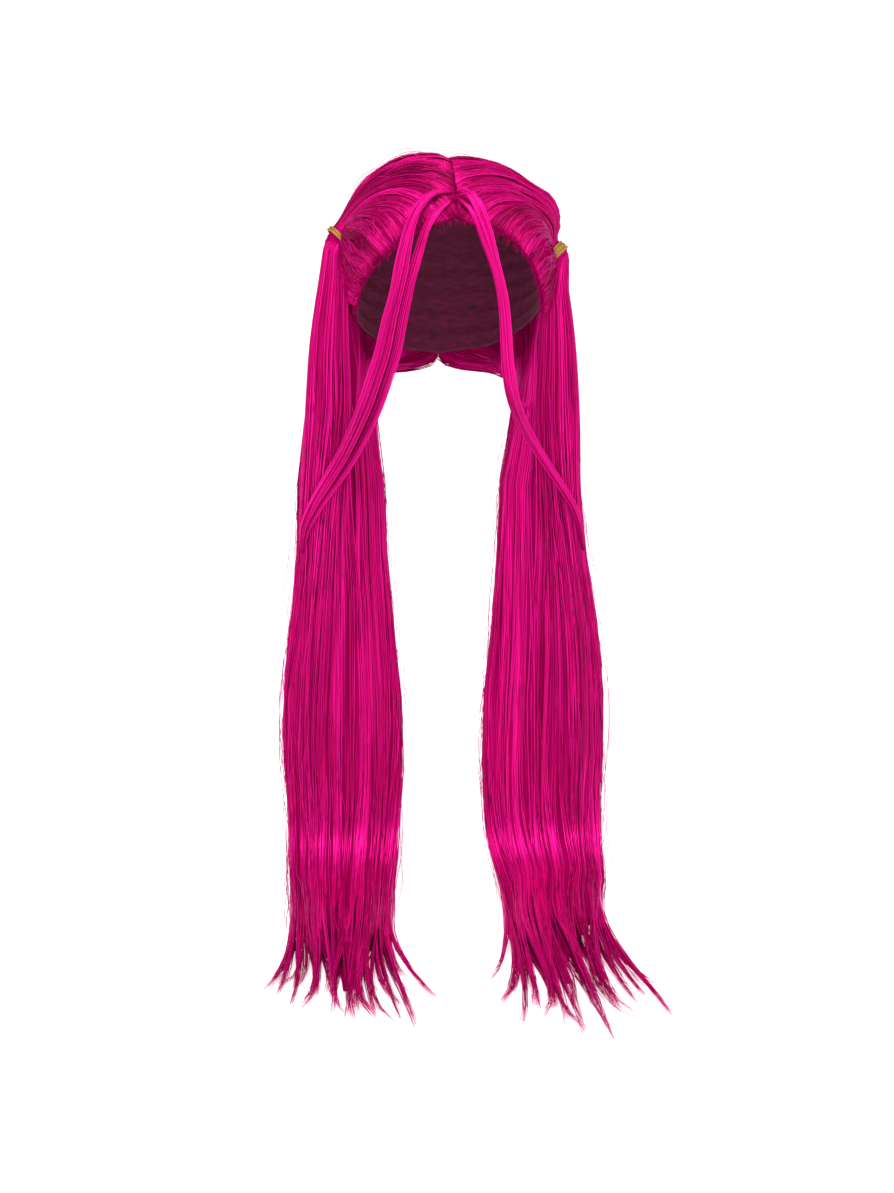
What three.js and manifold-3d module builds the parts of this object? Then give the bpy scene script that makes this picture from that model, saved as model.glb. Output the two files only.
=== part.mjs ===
import * as THREE from "three";
import { mergeVertices } from "three/addons/utils/BufferGeometryUtils.js";
import Module from "manifold-3d";

// A long straight wig with a centre part and two sections tied beside the temples.
// Millimetres, +Z up, -Y to the front, +X to the wearer's left.
// The origin is the inside top of the cap, where the top of the wearer's head comes.
// Each side is worked out in its own half space as (out, back, up), with out away from the centre.

const wasm = await Module();
wasm.setup();

// The head form that the cap is made for, measured inside the cap
const headBreadth = 154;
const headLength = 196;
const headRise = 96; // from the widest level up to the inside top
const headDrop = 112; // from the widest level down to where the form would close
const headPower = 2.3; // 2 would be an ellipsoid, more is squarer

// The cap
const capWall = 2;
const capMeridians = 32;
const capRows = 8;

// Air between neighbouring pieces
const clearance = 0.4;

// Hair on the cap, measured out from the cap's outside
const crownDepth = 10;
const sideDepth = 16;
const rollDepth = 7;
const backDepth = 12;
const partWidth = 1.6;
const ridgeDepth = 1.1;

// The elastics and the bunches that they hold
const bunchRadius = 9;
const bunchStandoff = 19; // from the cap's outside to the middle of the bunch
const bunchAzimuth = 78; // degrees round from the front
const bunchElevation = { right: 23, left: 16 }; // degrees above the head's widest level
const bunchTilt = 41; // degrees below level that the bunch points
const cordRadius = 1.1;
const cordTurns = { right: 2, left: 4 };
const cordPitch = 1.9;
const rimStep = 0.01; // keeps the band's side faces from closing on its first groove

// The tails that fall from the elastics
const tailDrop = 365;
const tailOut = 16;
const tailForward = 13;
const tailWidth = 38;
const tailThickness = 15;
const tailHalf = 9; // points on the outer side of a section
const tailBend = 0.14; // share of the drop by which the tail hangs straight
const neckShare = 0.75; // how far the bunch runs on either side of its middle, in band widths

// The long masses, from under the ear down to the table
const hangStart = 108; // below the head's widest level
const floorDrop = 632; // from the origin to the table
const hairOverhang = 65; // farthest out, measured from the side of the head
const massDepth = 58;
const massBack = 6; // how far the middle of a mass lies behind the ears
const topBack = 16; // how much farther back it lies where it leaves the head
const bendRadius = 80;
const trailReach = 355; // how far forward the longest tip lies on the table
const trailBody = 0.68; // share of that where the mass has parted into locks
const trailHeight = 24;
const lobes = 7;
const lobeShare = 0.07; // how much of a section's size the lobes add and take away
const massHalf = 14; // points on the outer side of a section
const underTied = 0.5; // share of the back hair's depth where the tied section covers it
const napeShare = 0.4; // share of the sides' depth that the hair of the nape reaches
const lockHalf = 3; // points on the upper side of a lock
const lockSway = 0.06; // sideways bow of a lock, as a share of its length

// The loose strands in front of the face
const strandDrop = 308;
const strandTop = 17; // how far the roots lie below the inside top of the cap
const strandWidth = 25;
const strandThickness = 10;
const strandHalf = 5; // points on the outer side of a section
const strandTurn = 0.35; // how far a section turns out with its distance from the centre

const radians = THREE.MathUtils.degToRad;
const mix = THREE.MathUtils.lerp;
const centre = new THREE.Vector3(0, 0, -headRise);
const floor = -floorDrop;
const massReach = headBreadth / 2 + hairOverhang;
const strandForward = headLength / 2;

// A table's value at a place between its rows: the first column is the place, the rest are values.
function along(rows, place) {
  let k = 0;
  while (k < rows.length - 2 && place > rows[k + 1][0]) k += 1;
  const [a, b] = [rows[k], rows[k + 1]];
  const share = THREE.MathUtils.clamp((place - a[0]) / (b[0] - a[0]), 0, 1);
  return a.slice(1).map((value, column) => mix(value, b[column + 1], share));
}

// A direction from the middle of the head: azimuth 0 is the front, 180 the back.
function direction(azimuth, elevation) {
  const level = Math.cos(radians(elevation));
  return new THREE.Vector3(
    Math.sin(radians(azimuth)) * level,
    -Math.cos(radians(azimuth)) * level,
    Math.sin(radians(elevation)),
  );
}

// The direction a share of the way along the great circle between two others
function turned(from, to, share) {
  const angle = from.angleTo(to);
  if (angle < 1e-6) return from.clone();
  const a = Math.sin((1 - share) * angle) / Math.sin(angle);
  const b = Math.sin(share * angle) / Math.sin(angle);
  return from.clone().multiplyScalar(a).addScaledVector(to, b).normalize();
}

// The point of the head form in a direction, moved out by an offset
function headPoint(toward, offset) {
  const reach = [
    headBreadth / 2 + offset,
    headLength / 2 + offset,
    (toward.z > 0 ? headRise : headDrop) + offset,
  ];
  const sum = toward
    .toArray()
    .reduce((total, part, axis) => total + Math.abs(part / reach[axis]) ** headPower, 0);
  return toward.clone().multiplyScalar(sum ** (-1 / headPower)).add(centre);
}

// A closed mesh from points and triangles as a solid, with its faces turned out
function solidFrom(points, triangles) {
  const geometry = new THREE.BufferGeometry().setFromPoints(points);
  geometry.setIndex(triangles.flat());
  const merged = mergeVertices(geometry, 1e-4);
  const place = merged.getAttribute("position");
  const index = Array.from(merged.index.array);
  const [a, b, c] = [new THREE.Vector3(), new THREE.Vector3(), new THREE.Vector3()];
  let volume = 0;
  for (let i = 0; i < index.length; i += 3) {
    a.fromBufferAttribute(place, index[i]);
    b.fromBufferAttribute(place, index[i + 1]);
    c.fromBufferAttribute(place, index[i + 2]);
    volume += a.dot(b.cross(c));
  }
  if (volume < 0) {
    for (let i = 0; i < index.length; i += 3) {
      [index[i + 1], index[i + 2]] = [index[i + 2], index[i + 1]];
    }
  }
  const mesh = new wasm.Mesh({
    numProp: 3,
    vertProperties: new Float32Array(place.array),
    triVerts: new Uint32Array(index),
  });
  return new wasm.Manifold(mesh);
}

// Points pushed out until each face round them has moved out by an amount. At a very sharp
// corner they move less, so that no spike grows there.
function pushedOut(points, triangles, amount) {
  const passes = 12;
  const longestStep = 3 * amount;
  const around = points.map(() => []);
  let volume = 0;
  for (const corners of triangles) {
    const [a, b, c] = corners.map((corner) => points[corner]);
    const face = b.clone().sub(a).cross(c.clone().sub(a)).normalize();
    for (const corner of corners) around[corner].push(face);
    volume += a.dot(b.clone().cross(c));
  }
  const outward = Math.sign(volume);
  return points.map((point, i) => {
    const step = new THREE.Vector3();
    for (let pass = 0; pass < passes; pass += 1) {
      for (const face of around[i]) {
        const missing = amount - outward * face.dot(step);
        if (missing > 0) step.addScaledVector(face, outward * missing);
      }
    }
    return point.clone().add(step.clampLength(0, longestStep));
  });
}

// A solid through closed rings. The first half of a ring's points is its outer side, and the
// second half comes back along its inner side, so the ends are closed by strips between them.
function loft(rings, amount = 0) {
  const count = rings[0].length;
  const points = rings.flat();
  const triangles = [];
  const quad = (a, b, c, d) => triangles.push([a, b, c], [a, c, d]);
  for (let r = 0; r < rings.length - 1; r += 1) {
    for (let i = 0; i < count; i += 1) {
      const next = (i + 1) % count;
      const low = r * count;
      quad(low + i, low + next, low + count + next, low + count + i);
    }
  }
  const last = (rings.length - 1) * count;
  for (let i = 0; i < count / 2 - 1; i += 1) {
    const across = count - 1 - i;
    quad(i, across, across - 1, i + 1);
    quad(last + i, last + i + 1, last + across - 1, last + across);
  }
  const placed = amount ? pushedOut(points, triangles, amount) : points;
  return solidFrom(placed, triangles);
}

// The largest body of a cut solid: a cut can leave crumbs where two surfaces graze
function mainBody(solid) {
  return solid.decompose().reduce((a, b) => (a.volume() > b.volume() ? a : b));
}

// The half-space points of one side, placed in the wig's own frame
function onSide(side, points) {
  const sign = side === "right" ? -1 : 1;
  return points.map((point) => new THREE.Vector3(sign * point.x, point.y, point.z));
}

// The cap's edge: azimuth, elevation, in degrees from the middle of the head
const capEdge = [
  [0, 36],
  [25, 29],
  [42, 17],
  [62, 0],
  [78, -15],
  [95, -19],
  [120, -26],
  [150, -34],
  [180, -37],
];

function capDirection(meridian, share) {
  const azimuth = (360 * meridian) / capMeridians;
  const [edge] = along(capEdge, azimuth > 180 ? 360 - azimuth : azimuth);
  return direction(azimuth, mix(90, edge, share));
}

// A solid from rows of points round the head, closed by a pole at the top and at the bottom
function rowsSolid(rows, top, bottom) {
  const count = rows[0].length;
  const points = [...rows.flat(), top, bottom];
  const triangles = [];
  const topIndex = points.length - 2;
  const bottomIndex = points.length - 1;
  const last = (rows.length - 1) * count;
  for (let i = 0; i < count; i += 1) {
    const next = (i + 1) % count;
    triangles.push([topIndex, i, next], [bottomIndex, last + next, last + i]);
    for (let r = 0; r < rows.length - 1; r += 1) {
      const low = r * count;
      triangles.push([low + i, low + count + i, low + count + next]);
      triangles.push([low + i, low + count + next, low + next]);
    }
  }
  return solidFrom(points, triangles);
}

const meridians = Array.from({ length: capMeridians }, (_, m) => m);
const capShares = Array.from({ length: capRows }, (_, row) => (row + 1) / capRows);
const capRow = (share, offset) =>
  meridians.map((m) => headPoint(capDirection(m, share), offset));

function capSolid() {
  const outside = capShares.map((share) => capRow(share, capWall));
  const inside = capShares.map((share) => capRow(share, 0)).reverse();
  const up = direction(0, 90);
  return rowsSolid([...outside, ...inside], headPoint(up, capWall), headPoint(up, 0));
}

// Rows of the head and neck below the cap's edge, as shares of the way down to their last row,
// and how steeply that row looks down
const neckShares = [0.24, 0.6, 1];
const neckSlope = 2.2;

// What the hair is cut back from: the cap's outside with its clearance, carried on below the
// cap's edge as the head and neck, so that the hair's inner side goes on past the edge.
function headClearance() {
  const offset = capWall + clearance;
  const rows = capShares.map((share) => capRow(share, offset));
  for (const share of neckShares) {
    rows.push(
      meridians.map((m) => {
        const edge = capDirection(m, 1);
        const down = -neckSlope * Math.hypot(edge.x, edge.y);
        const lowest = new THREE.Vector3(edge.x, edge.y, down).normalize();
        return headPoint(turned(edge, lowest, share), offset);
      }),
    );
  }
  const down = direction(0, -90);
  return rowsSolid(rows, headPoint(direction(0, 90), offset), headPoint(down, offset));
}

// Where the tied hair starts, from the back end of the part, over the top to the front, and
// down the rolled hairline to the temple: azimuth, elevation in degrees
const partStart = [
  [180, 48],
  [180, 66],
  [180, 84],
  [0, 76],
  [0, 60],
  [0, 46],
  [0, 33],
];
const hairlineStart = {
  right: [
    [14, 29],
    [30, 20.5],
    [45, 10],
    [60, -2],
    [72, -15],
  ],
  left: [
    [12, 28],
    [27, 24],
    [40, 14],
    [51, 0],
    [63, -14],
  ],
};
// Depth of the tied hair on its way to the elastic: way, share of the crown's depth along the
// part, share of the roll's depth along the hairline, share of the sides' depth
const tiedDepth = [
  [0, 0.72, 0.35, 0],
  [0.07, 1, 1, 0],
  [0.2, 1.02, 1.15, 0.12],
  [0.36, 0.85, 0.95, 0.35],
  [0.52, 0.5, 0.6, 0.62],
  [0.68, 0.2, 0.25, 0.86],
  [0.82, 0, 0, 1.04],
];
// The bunch below the elastic: share of the drop, share of the outward swing on the right and
// on the left, share of the forward swing, shares of the full width and of the full thickness
const tailRows = [
  [0.025, 0.1, -0.1, 0.1, 0.54, 1.15],
  [0.065, 0.08, -0.38, 0.35, 0.6, 1.1],
  [0.13, 0.2, -0.34, 0.62, 0.7, 1.05],
  [0.23, 0.36, -0.3, 0.85, 0.86, 1],
  [0.37, 0.45, -0.28, 1, 1, 1],
  [0.52, 0.65, -0.1, 1, 1, 0.94],
  [0.67, 0.8, 0.45, 0.95, 0.92, 0.85],
  [0.84, 0.92, 0.95, 0.85, 0.7, 0.6],
  [1, 0.95, 1.1, 0.7, 0.2, 0.12],
];

// The bunch at one elastic: its middle, the way it points, and its front and outer directions
function bunchAt(side) {
  const out = direction(bunchAzimuth, bunchElevation[side]);
  const middle = headPoint(out, capWall + bunchStandoff);
  const way = direction(bunchAzimuth, -bunchTilt);
  return { middle, way };
}

// Where the outer side of a bunch's ring starts and ends, in degrees from its front
const bunchStart = 150;
const bunchEnd = -45;

// A ring of 2 x half points round a middle, square to a way. The outer side turns from behind,
// over the outside, to the front and down.
function bunchRing(middle, way, halfForward, halfOut, half) {
  const front = new THREE.Vector3(0, -1, 0).projectOnPlane(way).normalize();
  const outer = new THREE.Vector3(1, 0, 0).projectOnPlane(way).projectOnPlane(front).normalize();
  const at = (angle) =>
    middle
      .clone()
      .addScaledVector(front, Math.cos(radians(angle)) * halfForward)
      .addScaledVector(outer, Math.sin(radians(angle)) * halfOut);
  const ring = [];
  for (let i = 0; i < 2 * half; i += 1) {
    const outerSide = i < half;
    const angle = outerSide
      ? mix(bunchStart, bunchEnd, i / (half - 1))
      : mix(bunchEnd, bunchStart - 360, (i - half + 1) / (half + 1));
    ring.push(at(angle));
  }
  return ring;
}

// The fan of tied hair on one side, from the part and the hairline through the elastic
function fanRings(side) {
  const starts = [...partStart, ...hairlineStart[side]].map((row) => direction(...row));
  const toward = direction(bunchAzimuth, bunchElevation[side]);
  const half = starts.length;
  const rings = tiedDepth.map(([way, crown, roll, beside]) => {
    const ways = starts.map((start) => turned(start, toward, way));
    const outerSide = ways.map((at, i) => {
      const rolled = THREE.MathUtils.smoothstep(i, partStart.length - 3, partStart.length + 1);
      const depth = mix(crown * crownDepth, roll * rollDepth, rolled) + beside * sideDepth;
      const ridge = i % 2 === 0 ? ridgeDepth : -ridgeDepth;
      return headPoint(at, capWall + depth + ridge * Math.sin(Math.PI * Math.min(1, way * 1.2)));
    });
    const innerSide = ways.map((at) => headPoint(at, -capWall)).reverse();
    return [...outerSide, ...innerSide].map((point) => {
      point.x = Math.max(point.x, partWidth / 2);
      return point;
    });
  });
  return [...rings, ...neckRings(side, half)].map((ring) => onSide(side, ring));
}

// The bunch inside the elastic, a little longer than the band is wide
function neckRings(side, half) {
  const { middle, way } = bunchAt(side);
  const neck = cordPitch * cordTurns[side];
  return [-neckShare, neckShare].map((step) => {
    const at = middle.clone().addScaledVector(way, step * neck);
    return bunchRing(at, way, bunchRadius, bunchRadius, half);
  });
}

// The tail of one side, from inside the elastic down in front of the long hair
function tailRings(side) {
  const { middle, way } = bunchAt(side);
  const rings = neckRings(side, tailHalf);
  const end = middle.clone().addScaledVector(way, cordPitch * cordTurns[side]);
  const straightDown = new THREE.Vector3(0, 0, -1);
  for (const [drop, outRight, outLeft, forward, width, thickness] of tailRows) {
    const out = side === "right" ? outRight : outLeft;
    const at = new THREE.Vector3(
      end.x + out * tailOut,
      end.y - forward * tailForward,
      end.z - drop * tailDrop,
    );
    const bend = turned(way, straightDown, THREE.MathUtils.smoothstep(drop, 0, tailBend));
    const halves = [(thickness * tailThickness) / 2, (width * tailWidth) / 2];
    rings.push(bunchRing(at, bend, ...halves, tailHalf));
  }
  return rings.map((ring) => onSide(side, ring));
}

// The tied hair of one side as one solid, grown by an amount
const tiedSolid = (side, amount = 0) =>
  loft(fanRings(side), amount).add(loft(tailRings(side), amount));

// A turn of cord in the elastic's profile: steps across it, and how far its groove and its
// crest stand from the band's inside, in cord radii
const cordSteps = 3;
const cordGroove = 1.2;
const cordCrest = 2;
const bandSides = 16;

// An elastic: turns of cord side by side round the bunch, as one ring with a scalloped outside.
// Grown by an amount, it is the room that the hair outside the bunch leaves for it.
function elasticSolid(side, amount = 0) {
  const turns = cordTurns[side];
  const roundness = Math.cos(Math.PI / bandSides);
  const inner = (bunchRadius + clearance) / roundness;
  const profile = [];
  const steps = turns * cordSteps;
  for (let i = 0; i <= steps; i += 1) {
    const place = (i / steps - 0.5) * turns * cordPitch;
    const high = i % cordSteps === 0 ? cordGroove : cordCrest;
    profile.push(new THREE.Vector2(inner + cordRadius * high + amount, place));
  }
  const low = amount ? bunchRadius / roundness : inner;
  const rim = (turns * cordPitch) / 2 + amount;
  profile.unshift(new THREE.Vector2(low, -rim - rimStep));
  profile.push(new THREE.Vector2(low, rim + rimStep));
  profile.push(profile[0].clone());
  const ring = new THREE.LatheGeometry(profile, bandSides);
  const { middle, way } = bunchAt(side);
  const sign = side === "right" ? -1 : 1;
  const axis = new THREE.Vector3(sign * way.x, way.y, way.z);
  ring.applyQuaternion(
    new THREE.Quaternion().setFromUnitVectors(new THREE.Vector3(0, 1, 0), axis),
  );
  ring.translate(sign * middle.x, middle.y, middle.z);
  ring.deleteAttribute("normal");
  ring.deleteAttribute("uv");
  const merged = mergeVertices(ring, 1e-3);
  const place = merged.getAttribute("position");
  const points = Array.from({ length: place.count }, (_, i) =>
    new THREE.Vector3().fromBufferAttribute(place, i),
  );
  const triangles = [];
  for (let i = 0; i < merged.index.count; i += 3) {
    const corners = [0, 1, 2].map((k) => merged.index.array[i + k]);
    if (new Set(corners).size === 3) triangles.push(corners);
  }
  return solidFrom(points, triangles);
}

// Where the back hair starts on the centre-back part, the place that it bends toward, and where
// it comes to at the side: place from the crown to the nape, start elevation, azimuth and
// elevation of the bend, azimuth and elevation of the end, in degrees
const backRows = [
  [0, 62, 80, 50, 80, -27],
  [0.25, 38, 112, 34, 92, -33],
  [0.5, 10, 138, 6, 106, -38],
  [0.75, -16, 152, -22, 124, -41],
  [1, -37, 162, -41, 144, -43],
];
// Depth of the back hair on its way to the side: way, share of the back's depth, of the sides'
const backDepthRows = [
  [0, 0.6, 0],
  [0.08, 0.95, 0],
  [0.24, 1, 0.05],
  [0.42, 0.85, 0.2],
  [0.6, 0.6, 0.45],
  [0.8, 0.25, 1.05],
  [1, 0, 2],
];
// Sections of the long mass: share of the way from under the ear to the last of its body, outer
// and inner edge on the right, outer and inner edge on the left, as shares of the farthest
// reach, and the share of the full depth
const massRows = [
  [0, 0.852, 0.44, 0.765, 0.38, 1.34],
  [0.06, 0.873, 0.401, 0.78, 0.334, 1.26],
  [0.13, 0.88, 0.387, 0.796, 0.317, 1.15],
  [0.21, 0.894, 0.373, 0.845, 0.324, 1.06],
  [0.3, 0.937, 0.338, 0.908, 0.296, 1],
  [0.4, 0.986, 0.303, 0.95, 0.254, 1],
  [0.48, 1, 0.296, 0.958, 0.24, 0.97],
  [0.55, 0.98, 0.317, 0.95, 0.254, 0.9],
  [0.595, 0.98, 0.332, 0.947, 0.265, 0.84],
  [0.64, 0.98, 0.352, 0.94, 0.293, 0.76],
  [0.69, 0.98, 0.38, 0.935, 0.324, 0.66],
  [0.745, 0.98, 0.4, 0.887, 0.317, 0.56],
  [0.82, 0.993, 0.43, 0.845, 0.289, 0.45],
  [0.89, 0.99, 0.458, 0.817, 0.275, 0.34],
  [0.95, 0.94, 0.5, 0.78, 0.3, 0.22],
  [1, 0.86, 0.58, 0.72, 0.37, 0.1],
];

// The middle line of a mass: straight down, round the bend and along the table. It gives the
// place and the turn of the line, from 0 when it hangs to 90 degrees when it lies.
function massLine(share) {
  const start = -headRise - hangStart;
  const rest = floor + trailHeight / 2;
  const hang = start - (rest + bendRadius);
  const bend = (bendRadius * Math.PI) / 2;
  const trail = trailReach * trailBody + massBack - bendRadius;
  const run = share * (hang + bend + trail);
  const lean = topBack * (1 - THREE.MathUtils.smoothstep(share, 0, 0.4));
  if (run <= hang) return { back: massBack + lean, up: start - run, turn: 0 };
  const turn = Math.min((run - hang) / bendRadius, Math.PI / 2);
  const past = Math.max(0, run - hang - bend);
  return {
    back: massBack - bendRadius * (1 - Math.cos(turn)) - past,
    up: rest + bendRadius * (1 - Math.sin(turn)),
    turn,
  };
}

// Where the outer side of a mass's ring starts and ends, in degrees from its outermost point
// toward the back
const massStart = -110;
const massEnd = 100;

function massRing(side, [share, outerRight, innerRight, outerLeft, innerLeft, depth]) {
  const outer = (side === "right" ? outerRight : outerLeft) * massReach;
  const inner = (side === "right" ? innerRight : innerLeft) * massReach;
  const { back, up, turn } = massLine(share);
  const halfDeep = (depth * massDepth) / 2;
  const settled = Math.max(0, trailHeight / 2 - halfDeep) * Math.sin(turn);
  const ring = [];
  for (let i = 0; i < 2 * massHalf; i += 1) {
    const outerSide = i < massHalf;
    const angle = outerSide
      ? mix(massStart, massEnd, i / (massHalf - 1))
      : mix(massEnd, massStart + 360, (i - massHalf + 1) / (massHalf + 1));
    const swell = THREE.MathUtils.smoothstep(share, 0, 0.12) * lobeShare;
    const ripple = 1 + swell * Math.cos(lobes * radians(angle) + 3 * share);
    const across = ((outer - inner) / 2) * Math.cos(radians(angle)) * ripple;
    const deep = halfDeep * Math.sin(radians(angle)) * ripple;
    const point = new THREE.Vector3(
      (outer + inner) / 2 + across,
      back + deep * Math.cos(turn),
      up - settled - deep * Math.sin(turn),
    );
    point.z = Math.max(point.z, floor);
    ring.push(point);
  }
  return ring;
}

function longRings(side) {
  const rings = backDepthRows.map(([way, back, beside]) => {
    const ways = Array.from({ length: massHalf }, (_, i) => {
      const [from, ...bendAndEnd] = along(backRows, i / (massHalf - 1));
      const bend = direction(...bendAndEnd.slice(0, 2));
      const end = direction(...bendAndEnd.slice(2));
      return turned(turned(direction(180, from), bend, way), turned(bend, end, way), way);
    });
    const outerSide = ways.map((at, i) => {
      const low = i / (massHalf - 1);
      const ridge = (i % 2 === 0 ? ridgeDepth : -ridgeDepth) * Math.sin(Math.PI * way);
      const under = mix(underTied, 1, THREE.MathUtils.smoothstep(low, 0, 0.2));
      const depth = under * back * backDepth + mix(1, napeShare, low) * beside * sideDepth;
      return headPoint(at, capWall + depth + ridge);
    });
    const innerSide = ways.map((at) => headPoint(at, -capWall)).reverse();
    return [...outerSide, ...innerSide].map((point) => {
      point.x = Math.max(point.x, partWidth / 2);
      return point;
    });
  });
  for (const row of massRows) rings.push(massRing(side, row));
  return rings.map((ring) => onSide(side, ring));
}

// The pointed locks on the table: where each leaves the mass and where its tip lies, as shares
// of the farthest reach out and forward, and its width as a share of the mass's depth
const lockRows = {
  right: [
    [0.9, 0.44, 1.155, 0.675, 0.4],
    [0.9, 0.46, 1.02, 0.75, 0.42],
    [0.85, 0.46, 0.94, 0.78, 0.5],
    [0.78, 0.47, 0.8, 0.82, 0.55],
    [0.7, 0.48, 0.73, 0.845, 0.5],
    [0.66, 0.47, 0.655, 0.855, 0.5],
    [0.6, 0.46, 0.54, 0.85, 0.5],
    [0.56, 0.46, 0.43, 0.87, 0.5],
    [0.53, 0.45, 0.325, 0.915, 0.42],
    [0.51, 0.4, 0.395, 0.71, 0.3],
  ],
  left: [
    [0.35, 0.43, 0.135, 0.76, 0.32],
    [0.38, 0.46, 0.2, 0.91, 0.44],
    [0.44, 0.48, 0.3, 0.85, 0.5],
    [0.47, 0.48, 0.345, 0.88, 0.5],
    [0.55, 0.49, 0.45, 0.93, 0.55],
    [0.58, 0.49, 0.52, 0.975, 0.5],
    [0.65, 0.49, 0.66, 1, 0.55],
    [0.7, 0.48, 0.78, 0.895, 0.5],
    [0.76, 0.46, 0.86, 0.86, 0.42],
    [0.76, 0.44, 0.985, 0.893, 0.38],
  ],
};
// How a lock narrows from root to tip: way, share of its width, share of its height
const lockTaper = [
  [0, 0.8, 0.46],
  [0.28, 1, 0.42],
  [0.5, 0.78, 0.33],
  [0.72, 0.46, 0.22],
  [0.9, 0.18, 0.12],
  [1, 0.03, 0.05],
];

// A ring of 2 x half points in a plane, from a middle and two half axes
function ovalRing(middle, across, up, half) {
  return Array.from({ length: 2 * half }, (_, i) => {
    const angle = (Math.PI * (i + 0.5)) / half;
    return middle
      .clone()
      .addScaledVector(across, Math.cos(angle))
      .addScaledVector(up, Math.sin(angle));
  });
}

function lockSolid(side, [rootOut, rootForward, tipOut, tipForward, width]) {
  const root = new THREE.Vector3(rootOut * massReach, -rootForward * trailReach, floor);
  const tip = new THREE.Vector3(tipOut * massReach, -tipForward * trailReach, floor);
  const run = tip.clone().sub(root);
  const across = new THREE.Vector3(-run.y, run.x, 0).normalize();
  const sway = lockSway * run.length() * Math.sign(tip.x - root.x);
  const rings = lockTaper.map(([way, wide, high]) => {
    const middle = root.clone().addScaledVector(run, way);
    middle.x -= sway * Math.sin(Math.PI * way);
    const halfWide = (wide * width * massDepth) / 2;
    const halfHigh = (high * trailHeight) / 2;
    middle.z = floor + halfHigh;
    const up = new THREE.Vector3(0, 0, halfHigh);
    across.setLength(halfWide);
    return onSide(side, ovalRing(middle, across, up, lockHalf));
  });
  return loft(rings);
}

// The loose strands: share of the drop, share of the farthest reach out, share of half the
// head's length forward, share of the width, share of the thickness
const strandRows = {
  right: [
    [0, 0.05, 0.72, 0.3, 0.5],
    [0.045, 0.12, 0.83, 0.55, 0.8],
    [0.12, 0.2, 0.97, 0.7, 0.9],
    [0.18, 0.268, 1.01, 0.8, 0.95],
    [0.26, 0.324, 1.01, 0.88, 1],
    [0.335, 0.366, 1, 0.96, 1],
    [0.41, 0.4, 0.985, 1, 1],
    [0.485, 0.45, 0.93, 1, 1],
    [0.56, 0.5, 0.82, 0.96, 1],
    [0.64, 0.565, 0.65, 0.9, 0.95],
    [0.7, 0.62, 0.51, 0.86, 0.9],
    [0.76, 0.69, 0.41, 0.82, 0.85],
    [0.84, 0.79, 0.3, 0.64, 0.75],
    [0.92, 0.865, 0.17, 0.42, 0.6],
    [1, 0.885, 0.05, 0.12, 0.2],
  ],
  left: [
    [0, 0.045, 0.74, 0.26, 0.5],
    [0.03, 0.075, 0.83, 0.44, 0.75],
    [0.085, 0.11, 0.98, 0.48, 0.8],
    [0.14, 0.157, 1.03, 0.42, 0.75],
    [0.205, 0.21, 1.05, 0.32, 0.7],
    [0.275, 0.254, 1.05, 0.36, 0.7],
    [0.365, 0.275, 1.04, 0.4, 0.75],
    [0.44, 0.29, 1, 0.44, 0.75],
    [0.515, 0.32, 0.93, 0.48, 0.8],
    [0.575, 0.366, 0.8, 0.46, 0.8],
    [0.65, 0.455, 0.62, 0.44, 0.75],
    [0.72, 0.556, 0.49, 0.4, 0.7],
    [0.8, 0.672, 0.4, 0.36, 0.65],
    [0.87, 0.764, 0.32, 0.3, 0.6],
    [0.94, 0.815, 0.19, 0.24, 0.5],
    [1, 0.835, 0.1, 0.1, 0.2],
  ],
};

function strandRings(side) {
  const rows = strandRows[side];
  const middles = rows.map(
    ([drop, out, forward]) =>
      new THREE.Vector3(out * massReach, -forward * strandForward, -strandTop - drop * strandDrop),
  );
  return rows.map(([, , , wide, thick], i) => {
    const before = middles[Math.max(0, i - 1)];
    const after = middles[Math.min(rows.length - 1, i + 1)];
    const way = after.clone().sub(before).normalize();
    const faceOut = new THREE.Vector3(middles[i].x * strandTurn, -strandForward, 0).normalize();
    const across = way.clone().cross(faceOut).normalize();
    const deep = across.clone().cross(way).normalize();
    across.multiplyScalar((wide * strandWidth) / 2);
    deep.multiplyScalar((thick * strandThickness) / 2);
    return onSide(side, ovalRing(middles[i], across, deep, strandHalf));
  });
}

const hairMaterial = new THREE.MeshStandardMaterial({
  color: 0xc80a78,
  roughness: 0.35,
  metalness: 0,
});
const capMaterial = new THREE.MeshStandardMaterial({
  color: 0x8c0a52,
  roughness: 0.8,
  metalness: 0,
});
const elasticMaterial = new THREE.MeshStandardMaterial({
  color: 0xc89616,
  roughness: 0.5,
  metalness: 0,
});

const wig = new THREE.Group();

function addPiece(name, solid, material) {
  const { vertProperties, triVerts, numProp } = mainBody(solid).getMesh();
  const positions = new Float32Array((vertProperties.length / numProp) * 3);
  for (let i = 0; i < positions.length / 3; i += 1) {
    positions.set(vertProperties.subarray(i * numProp, i * numProp + 3), i * 3);
  }
  const geometry = new THREE.BufferGeometry();
  geometry.setAttribute("position", new THREE.BufferAttribute(positions, 3));
  geometry.setIndex(new THREE.BufferAttribute(new Uint32Array(triVerts), 1));
  geometry.computeVertexNormals();
  const mesh = new THREE.Mesh(geometry, material);
  mesh.name = name;
  wig.add(mesh);
}

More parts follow.
